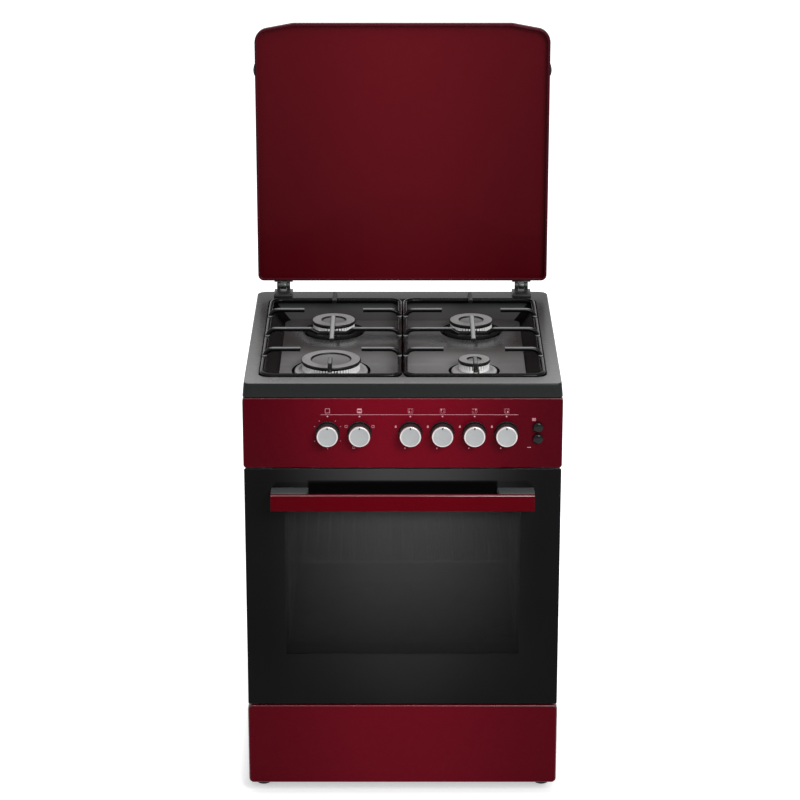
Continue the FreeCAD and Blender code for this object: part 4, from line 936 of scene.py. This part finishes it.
shape = bmesh.new()
rows = eased(hob_rows, [0.0012, 0.0035, 0.0012, 0.0008, 0.008])
radius, points = rows[0][4], 32
first = level_circle(shape, 0, 0, 0, radius / math.cos(math.pi / points), points)
for vert in {v for edge in first for v in edge.verts}:
    vert.co = onto_row(vert.co, (radius, -radius, radius, 0, radius, radius), rows[0])
openings = drawn_out(shape, first, rows, onto_row)[1]
for x, y, radius in burner_places:
    well = radius + well_margin
    sections = [(well + 0.001, floor_z), (well + 0.0003, floor_z - 0.0003),
                (well - 0.0006, skirt_z + 0.0006), (well - 0.0018, skirt_z), (gas_hole, skirt_z)]
    ring = level_circle(shape, x, y, floor_z, sections[0][0])
    openings = openings + ring
    drawn_out(shape, ring, sections, circle_move(x, y))
bmesh.ops.triangle_fill(shape, use_beauty=True, use_dissolve=False, edges=openings, normal=(0, 0, 1))
bmesh.ops.recalc_face_normals(shape, faces=shape.faces)
level_face = max(shape.faces, key=lambda f: abs(f.normal.z) * f.calc_area())
if level_face.normal.z < 0:
    bmesh.ops.reverse_faces(shape, faces=shape.faces)
slope_front, slope_top = 0.19, 0.842
# The basin walls and the wells, all but the rear slope, take the second finish: painted shade.
for face in shape.faces:
    place = face.calc_center_median()
    inside = abs(place.x) < basin_half and basin_near < place.y < basin_far
    rear_slope = place.y > slope_front and place.z < slope_top
    rear_slope = rear_slope and -face.normal.y > 1.5 * abs(face.normal.x)
    in_well = place.z < floor_z - 0.0002
    on_wall = floor_z + 0.0003 < place.z < rim_z - 0.0016 and not rear_slope
    if inside and (in_well or on_wall):
        face.material_index = 1


def hob_glaze(name, body, floor_tones, rim_tones, rough, level):
    """Dark fired enamel with painted light: a painted highlight makes the rim and the basin floor
    paler, palest at the front, and painted shade darkens them towards the rear and the sides.
    """
    glaze = Finish(name)
    height, depth = glaze.along("Z"), glaze.along("Y")
    slope = glaze.limit(depth, 0.186, 0.2) * glaze.limit(height, 0.845, 0.838)
    basin = glaze.limit(abs(glaze.along("X")), 0.285, 0.28) * glaze.limit(depth, -0.255, -0.25)
    floor = slope.or_more(basin * glaze.limit(height, floor_z + 0.0015, floor_z + 0.0002))
    rim = glaze.limit(height, rim_z - 0.0012, rim_z - 0.0004)
    rim_tone = glaze.mix(glaze.limit(depth, -0.27, 0.25), *rim_tones)
    # Painted shade on the floor: darker towards the rear and the sides.
    rear_painted_shade = glaze.limit(depth, -0.06, 0.035) * 0.8 + slope * 0.15
    floor_tone = glaze.mix(rear_painted_shade + glaze.sideways(0.05, 0.24) * 0.2, *floor_tones)
    return glaze.surface(
        Base_Color=glaze.mix(rim, glaze.mix(floor, body, floor_tone), rim_tone),
        Roughness=rough + glaze.noise(18, 3) * 0.06 - floor * 0.07,
        Specular_IOR_Level=level,
        Normal=glaze.bump(glaze.noise(45, 2), 0.0001),
    )


hob_enamel = hob_glaze(
    "hob_enamel", paint(28, 31, 30), (paint(122, 122, 122), paint(60, 60, 60)),
    (paint(126, 126, 126), paint(22, 22, 22)), 0.24, 0.1,
)
# The second finish is a near-black copy of the hob enamel: painted shade for its walls and wells.
wall_painted_shade = hob_glaze(
    "hob_wall_enamel", paint(5, 5, 6), (paint(12, 12, 12), paint(10, 10, 10)),
    (paint(40, 40, 40), paint(40, 40, 40)), 0.2, 0.02,
)
make_piece(
    "hob_top_piece", shape, [hob_enamel, wall_painted_shade], ["hob_top"],
    thick=0.001, mend=False,
)


# Burners: an aluminium cup in each well, a flame ring with fine slots and an enamelled cap
# with a shallow dish. A ceramic spark electrode stands in front of each.

def burner_metal(name, tone, shade, rough, level=0.5):
    """Cast aluminium, machined round, faintly yellowed by heat."""
    turning = (900, 2, 0.5, (0.2, 0.2, 2))
    return grained(
        name, (tone, shade), (30, 3), (rough, 0.14, *turning), (0.00006, *turning),
        Metallic=0.2, Specular_IOR_Level=level,
    )


ring_metal = burner_metal("ring_aluminium", paint(252, 252, 252), paint(240, 239, 237), 0.34)
# A near-black copy of the aluminium: painted shade in the slots, under the caps and on the rear cups.
painted_shade_metal = burner_metal("painted_shade_aluminium", paint(20, 20, 20), paint(12, 12, 12), 0.5, 0.05)
cup_metal = burner_metal("cup_aluminium", paint(186, 186, 186), paint(150, 150, 151), 0.4)
enamel = Finish("cap_enamel")
pits = enamel.noise(500, 3)
# Painted shade: the floor of the dish is darker than the top of the cap.
painted_dish_shade = enamel.limit(enamel.along("Z"), 0.849, 0.847)
cap_enamel = enamel.surface(
    Base_Color=enamel.mix(
        enamel.noise(40, 3) * 0.3 + painted_dish_shade * 0.7, paint(152, 152, 152), paint(112, 112, 113)
    ),
    Roughness=0.4 + pits * 0.1,
    Specular_IOR_Level=0.25,
    Normal=enamel.bump(pits, 0.00006),
)

well_z, cap_z = skirt_z, 0.845
cup_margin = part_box("burner_cups")[1].x - burner_x - burners["rear_right"][2]
cups = bmesh.new()
for x, y, radius in burner_places:
    flange = radius + cup_margin
    turned(
        cups,
        [(0, -0.038), (0.021, -0.038), (0.022, -0.037), (0.022, 0), (flange - 0.0005, 0),
         (flange, 0.0006), (flange, 0.003), (flange - 0.001, 0.0046), (flange - 0.0028, 0.0056),
         (radius + 0.0042, 0.006), (radius + 0.0034, 0.0056), (radius + 0.0026, 0.0042),
         (radius - 0.002, 0.0042), (radius - 0.0026, 0.0058), (0, 0.006)],
        (x, y, well_z), (0, 0, 1), 96,
    )
# The rear cups take the dark finish: painted shade under the rear burners.
for face in cups.faces:
    if face.calc_center_median().y > 0:
        face.material_index = 1
make_piece(
    "burner_cups_piece", cups, [cup_metal, painted_shade_metal], ["burner_cups"]
)

# Painted shade for the caps: near black on the rounded edge and the side of the dish.
cap_edge = powder_coat("cap_edge", paint(20, 20, 20), paint(12, 12, 12), 0.3, 0.4, 0.2)
slot_depth, chamfer = 0.003, 0.0006
drum_foot, slot_foot, slot_top = 0.829, 0.8335, 0.8425
for name, (x, y, radius, slots, dish) in burners.items():
    drum = radius - 0.002
    shape = bmesh.new()
    sections = [(drum - chamfer, drum_foot), (drum, drum_foot + chamfer), (drum, slot_foot),
                (drum, slot_top), (drum, cap_z - chamfer), (drum - chamfer, cap_z)]
    first = level_circle(shape, x, y, sections[0][1], sections[0][0], slots * 3)
    courses, last = drawn_out(shape, first, sections, circle_move(x, y))
    for ring in (first, last):
        bmesh.ops.edgeloop_fill(shape, edges=ring)
    bmesh.ops.recalc_face_normals(shape, faces=shape.faces)
    round_the_drum = sorted(
        courses[2],
        key=lambda f: math.atan2(f.calc_center_median().y - y, f.calc_center_median().x - x),
    )
    flame_slots = round_the_drum[::3]
    bmesh.ops.inset_individual(
        shape, faces=flame_slots, thickness=0.0001, depth=-slot_depth, use_even_offset=True
    )
    # The flame slots and the band under the cap take the dark finish: painted shade in the slots and a
    # painted shadow under the cap.
    for face in flame_slots + courses[3] + courses[4]:
        face.material_index = 1
    make_piece(
        f"burner_ring_{name}_piece", shape, [ring_metal, painted_shade_metal],
        [f"burner_ring_{name}"], mend=False,
    )
    cap = bmesh.new()
    turned(
        cap,
        [(0, 0), (radius - 0.0028, 0), (radius - 0.0006, 0.0004), (radius, 0.0012),
         (radius, 0.0028), (radius - 0.0006, 0.0038), (radius - 0.0018, 0.0044),
         (radius - 0.003, 0.0045), (dish + 0.0012, 0.0045), (dish + 0.0003, 0.0042),
         (dish, 0.0036), (dish - 0.0004, 0.0019), (dish - 0.0012, 0.0015), (0, 0.0015)],
        (x, y, cap_z), (0, 0, 1), 96,
    )
    # The cap's rounded edge and the side of its dish take the painted shade.
    for face in cap.faces:
        middle = face.calc_center_median()
        out = math.dist((middle.x, middle.y), (x, y))
        dish_side = dish - 0.0012 < out < dish + 0.0008 and middle.z < cap_z + 0.0044
        if out > radius - 0.002 or dish_side:
            face.material_index = 1
    make_piece(
        f"burner_cap_{name}_piece", cap, [cap_enamel, cap_edge],
        [f"burner_cap_{name}"],
    )

clay = Finish("electrode_ceramic")
soot = clay.limit(clay.along("Z") + clay.noise(300, 3) * 0.004, 0.818, 0.828)
ceramic = clay.surface(
    Base_Color=clay.mix(soot, paint(206, 202, 190), paint(66, 60, 52)),
    Roughness=0.25 + clay.noise(200, 2) * 0.15,
    Normal=clay.bump(clay.noise(400, 2), 0.00004),
)
electrode_gap, electrode_foot, to_the_right = 0.0036, 0.815, 0.2
shape = bmesh.new()
for x, y, radius in burner_places:
    reach = radius + electrode_gap
    forward = math.sqrt(1 - to_the_right ** 2)
    place = (x + reach * to_the_right, y - reach * forward, electrode_foot)
    turned(
        shape,
        [(0, 0), (0.0022, 0), (0.0025, 0.0004), (0.0025, 0.0235), (0.0021, 0.0245),
         (0.001, 0.0246), (0.001, 0.0276), (0.0006, 0.028), (0, 0.028)],
        place, (0, 0, 1), 24,
    )
make_piece("spark_electrodes_piece", shape, ceramic, ["spark_electrodes"])


# Grates: two frames of round rod in satin enamel, each with six fingers bent up from the
# frame, a cross bar that dips in the middle and a bar from front to back on it.

def rod_enamel(name, tone, shade, rough, level, top_light):
    """Satin enamel on rod: small runs from dipping, a painted highlight along the tops, fainter at the
    rear, and duller at the rear.
    """
    coat = Finish(name)
    runs = coat.noise(160, 4)
    height = coat.along("Z")
    fingers = coat.limit(height, 0.8708, 0.8728)
    frame_top = coat.limit(height, 0.8551, 0.8565) * coat.limit(height, 0.8585, 0.858)
    ahead = coat.limit(coat.along("Y"), 0.18, 0.172)
    # Painted highlight: paler along the tops of the fingers and the frame.
    painted_top_highlight = (fingers * (0.35 + ahead * 0.65)).or_more(frame_top)
    dull = coat.limit(height, 0.86, 0.862) * (1 - ahead)
    return coat.surface(
        Base_Color=coat.mix(painted_top_highlight, coat.mix(coat.noise(25, 3), tone, shade), top_light),
        Roughness=rough + runs * 0.1 + dull * 0.4,
        Specular_IOR_Level=level,
        Normal=coat.bump(runs, 0.00025),
    )


grate_enamel = rod_enamel(
    "grate_enamel", paint(10, 10, 11), paint(6, 6, 7), 0.1, 0.1, paint(128, 130, 131)
)
# A paler copy of the grate enamel for the bar from front to back: painted sheen.
painted_sheen_bar = rod_enamel(
    "grate_bar_enamel", paint(22, 22, 23), paint(14, 14, 15), 0.4, 0.2, paint(168, 170, 171)
)
frame_rod, finger_rod, cross_rod, bend = 0.005, 0.0044, 0.0048, 0.018
near, far, finger_top, dip_depth = -0.23, 0.2514, 0.869, 0.0082
clear, dip_start, dip_floor, bar_near, bar_far = 0.0585, 0.042, 0.028, -0.0665, 0.075
for sign, node in ((-1, "grate_left"), (1, "grate_right")):
    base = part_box(node)[0].z + frame_rod
    inner, outer = sign * 0.005, sign * 0.265
    centre = sign * burner_x
    shape = bmesh.new()
    rod(
        shape,
        [(outer, near, base), (outer, far, base), (inner, far, base), (inner, near, base)],
        frame_rod, 0.02, closed=True, sides=4,
    )
    fingers = []
    for y in (-burner_y, burner_y):
        for start, tip in ((outer, centre + sign * clear), (inner, centre - sign * clear)):
            fingers.append([(start, y, base), (start, y, finger_top), (tip, y, finger_top)])
    for start, tip in ((near, -burner_y - clear), (far, burner_y + clear)):
        fingers.append(
            [(centre, start, base), (centre, start, finger_top), (centre, tip, finger_top)]
        )
    for points in fingers:
        rod(shape, points, finger_rod, bend, sides=4)
    dip = finger_top - dip_depth
    rod(
        shape,
        [(outer, 0, base), (outer, 0, finger_top), (centre + sign * dip_start, 0, finger_top),
         (centre + sign * dip_floor, 0, dip), (centre - sign * dip_floor, 0, dip),
         (centre - sign * dip_start, 0, finger_top), (inner, 0, finger_top), (inner, 0, base)],
        finger_rod, [bend, bend] + [bend / 2] * 4 + [bend, bend], sides=4,
    )
    round_bars = set(shape.faces)
    top_bar = [(centre, bar_near, finger_top), (centre, bar_far, finger_top)]
    rod(shape, top_bar, cross_rod, 0, sides=4)
    for face in set(shape.faces) - round_bars:
        face.material_index = 1
    tips = [
        e for e in shape.edges
        if len(e.link_faces) == 2 and e.calc_face_angle(0) > math.radians(70)
    ]
    round_edges(shape, tips, 0.0012)
    make_piece(node + "_piece", shape, [grate_enamel, painted_sheen_bar], [node], crease=50)


# Lid: a red painted steel pan with a folded lip, standing open on two hinges whose bases
# are screwed to the rear rim. Half-round rubber bumpers sit on its sides.

def lid_painted_shade(coat):
    """Painted shade, darker towards the sides and the hinges, and a painted reflection, a little
    darker under a faint arch.
    """
    height = coat.along("Z")
    arch_top, arch_drop = 1.049, 0.079
    arch = arch_top - arch_drop * coat.limit(abs(coat.along("X")), 0.05, 0.25, "SMOOTHSTEP")
    arch_reflection = coat.limit(height - arch, 0.004, -0.006)
    low = coat.limit(height, 1.4, 0.86)
    return coat.sideways(0.02, 0.29) * 0.55 + low * 0.4 + arch_reflection * 0.08


lid_red = gloss_red(
    "lid_red", paint(93, 14, 24), paint(60, 3, 10), paint(78, 8, 16), 0.03, 0.2, lid_painted_shade
)
lid_low, lid_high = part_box("lid")
flat, drop, lip, lip_depth = 0.219, 0.0146, 0.005, 0.004
shape = bmesh.new()
corner_places = [
    (lid_low.x, lid_low.z), (lid_high.x, lid_low.z), (lid_high.x, lid_high.z - drop),
    (flat, lid_high.z), (-flat, lid_high.z), (lid_low.x, lid_high.z - drop),
]
corners = [shape.verts.new((x, lid_high.y, z)) for x, z in corner_places]
shape.faces.new(corners)
for pair, reach in (((0, 1), 0.012), ((2, 5), 0.0232), ((3, 4), 0.0026)):
    bmesh.ops.bevel(
        shape, geom=[corners[i] for i in pair], offset=reach, segments=8 if reach > 0.01 else 4,
        profile=0.5, affect="VERTICES", clamp_overlap=True, material=-1,
    )
back = list(shape.faces)
if back[0].normal.y < 0:
    bmesh.ops.reverse_faces(shape, faces=back)
front = bmesh.ops.extrude_face_region(shape, geom=back, use_keep_orig=True)["geom"]
moved = [v for v in front if isinstance(v, bmesh.types.BMVert)]
bmesh.ops.translate(shape, verts=moved, vec=(0, lid_low.y - lid_high.y, 0))
bmesh.ops.recalc_face_normals(shape, faces=shape.faces)
mouth = [f for f in shape.faces if f.normal.y < -0.9]
bmesh.ops.inset_region(shape, faces=mouth, thickness=lip, use_even_offset=True)
bmesh.ops.delete(shape, geom=[f for f in mouth if f.is_valid], context="FACES")
round_edges(shape, sharp_edges(shape, 60), 0.0025, 4)
# The lip faces take a darker copy of the lid red: painted shade.
for face in shape.faces:
    if face.calc_center_median().y < lid_low.y + lip_depth:
        face.material_index = 1
lid_lip = gloss_red("lid_lip", paint(70, 13, 24), paint(62, 10, 20), paint(54, 7, 16), 0.05)
make_piece(
    "lid_piece", shape, [lid_red, lid_lip], ["lid"], thick=0.001, mend=False, crease=40
)

bumper_skin = (500, 3)
bumper_rubber = grained(
    "bumper_rubber", (paint(34, 33, 33), paint(24, 24, 24)), bumper_skin,
    (0.62, 0.15, *bumper_skin), (0.0001, *bumper_skin), Specular_IOR_Level=0.3,
)
hinge_coat = powder_coat("hinge_plastic", paint(32, 32, 33), paint(24, 24, 25), 0.35, 0.5, 0.45)
hinge_steel = cast("hinge_steel", paint(84, 90, 86), paint(56, 60, 58), 0.3)
carried("lid_bumpers", bumper_rubber, 0.0014)
carried("lid_hinge_bases", hinge_coat, 0.0007)
carried("lid_hinge_arms", hinge_steel, 0.0004)


# Oven door: a black printed glass over a steel pan, with a clear tinted window, an inner
# glass, and hinge pins that turn in tongues on the frame.

window_half_width, window_z, window_half_height = 0.2225, 0.4575, 0.1555
# The last three measures place the painted shadow of the handle on the glass.
print_edge, handle_shadow_half, handle_shadow_low, handle_shadow_high = 0.001, 0.177, 0.612, 0.66
tint = Finish("door_glass")
across, height = abs(tint.along("X")), tint.along("Z")
up = abs(height - window_z)
inside = tint.limit(across, window_half_width + print_edge, window_half_width)
inside = inside * tint.limit(up, window_half_height + print_edge, window_half_height)
smears = tint.noise(7, 4)
# Painted light on the glass: a painted sheen, lightest in the middle and higher up, with real smears
# in it; a painted glow low in the middle; a painted shadow of the handle in a band behind its bar; and
# painted light through the window, brighter in the middle and towards the top.
middle = 1 - tint.sideways(0.02, 0.27)
handle_painted_shadow = tint.limit(across, handle_shadow_half + 0.004, handle_shadow_half)
handle_painted_shadow = handle_painted_shadow * tint.limit(height, handle_shadow_high, handle_shadow_high - 0.003)
handle_painted_shadow = handle_painted_shadow * tint.limit(height, handle_shadow_low, handle_shadow_low + 0.006)
low_painted_glow = (1 - tint.sideways(0.0, 0.16)) * tint.limit(height, 0.3, 0.296) * 0.04
glass_painted_sheen = middle * tint.limit(height, 0.16, 0.66) * 0.9 + low_painted_glow + smears * 0.06
printed = tint.mix(glass_painted_sheen * (1 - handle_painted_shadow), paint(7, 7, 8), paint(62, 61, 61))
window_painted_light = (0.24 + middle * 0.76) * tint.limit(height, 0.25, 0.62)
window = tint.mix(window_painted_light, paint(7, 7, 8), paint(73, 72, 72))
door_glass = tint.surface(
    Base_Color=tint.mix(inside, printed, window),
    Roughness=0.06 + smears * 0.05,
    Specular_IOR_Level=0.03,
    Alpha=1 - inside * 0.34,
    Normal=tint.bump(tint.noise(12, 2), 0.0001),
)
glass_edge = gloss_black("glass_edge", paint(30, 30, 31), 0.6, 0.12)
shape = bmesh.new()
box_between(shape, *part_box("door_outer_glass"))
round_edges(shape, edges_along(shape, 1), 0.003, 5)
round_edges(shape, sharp_edges(shape, 60), 0.0009, 3)
shape.normal_update()
edge_faces(shape, -0.5, 0.96)
make_piece(
    "door_outer_glass_piece", shape, [door_glass, glass_edge], ["door_outer_glass"]
)

pan_enamel = vitreous("door_pan_enamel", paint(30, 30, 32), paint(90, 92, 98), 0.3)
carried("door_inner_panel", pan_enamel, 0.0004)
clear = Finish("clear_glass")
haze = clear.noise(20, 4)
clear_glass = clear.surface(
    Base_Color=clear.mix(haze, paint(120, 124, 122), paint(98, 102, 100)),
    Roughness=0.05 + haze * 0.06,
    Specular_IOR_Level=0.3,
    Alpha=0.12 + haze * 0.06,
)
carried("door_inner_glass", clear_glass, 0.0005)
tongue_steel = cast("tongue_steel", paint(160, 160, 163), paint(126, 126, 130), 0.34)
carried("door_hinge_pins", spindle_steel, 0.0003)
carried("door_hinge_tongues", tongue_steel, 0.0005)


# Handle: a flat red bar of painted metal with softened long edges. It is screwed to a
# moulded end block at each side, which stands on the door glass.

handle_red = gloss_red("handle_red", paint(89, 0, 12), paint(78, 0, 9), paint(78, 0, 9), 0.02, 0.18)
# A paler copy of the handle red: a painted highlight.
handle_edge = gloss_red(
    "handle_edge", paint(100, 20, 32), paint(90, 16, 26), paint(86, 12, 22), 0.8, 0.18
)
shape = bmesh.new()
box_between(shape, *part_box("door_handle"))
round_edges(shape, edges_along(shape, 0), 0.003, 5)
round_edges(shape, sharp_edges(shape, 60), 0.0007, 3)
shape.normal_update()
# The upper faces take the paler red: a painted highlight along the top edge.
for face in shape.faces:
    if face.normal.z > 0.2 and -face.normal.y < 0.98:
        face.material_index = 1
make_piece("door_handle_piece", shape, [handle_red, handle_edge], ["door_handle"])

moulded = (380, 3)
bracket_plastic = grained(
    "bracket_plastic", (paint(74, 78, 78), paint(64, 68, 68)), (20, 3),
    (0.34, 0.12, *moulded), (0.00008, *moulded), Specular_IOR_Level=0.5,
)
inner_end, outer_end, skirt, taper = 0.178, 0.248, 0.0004, 0.003
block_low, block_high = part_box("door_handle_brackets")
shape = bmesh.new()
for sign in (-1, 1):
    left, right = sorted((sign * inner_end, sign * outer_end))
    block = box_between(
        shape, (left, block_low.y, block_low.z + skirt), (right, block_high.y, block_high.z - skirt)
    )
    for vert in block:
        if abs(vert.co.x) < 0.2 and vert.co.y < -0.3:
            vert.co.x += sign * taper
round_edges(shape, sharp_edges(shape, 30), 0.0014, 3)
make_piece(
    "door_handle_brackets_piece", shape, bracket_plastic,
    ["door_handle_brackets"],
)


# Drawer: a pressed steel front with rolled edges, painted red like the panel. It is screwed
# to an open galvanised box that slides on the runners.

drawer_red = gloss_red("drawer_red", paint(95, 8, 23), paint(74, 2, 14), paint(82, 5, 17), 0.03)
shape = folded_front(*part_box("drawer_front"), 0.009, 0.003, 5)
make_piece(
    "drawer_front_piece", shape, [drawer_red, red_edge], ["drawer_front"],
    thick=0.001, mend=False,
)
carried("drawer_box", galvanised, 0.0004)


# A faint light at the oven lamp, no part of the object, so that the shelf can be made out
# behind the door glass.

glow_lamp = bpy.data.lights.new("oven_glow", "POINT")
glow_lamp.energy, glow_lamp.shadow_soft_size = 0.02, 0.02
glow_lamp.color = (1, 0.9, 0.78)
into_scene("oven_glow", glow_lamp).location = (lamp_x, lamp_front - 0.023, lamp_z)
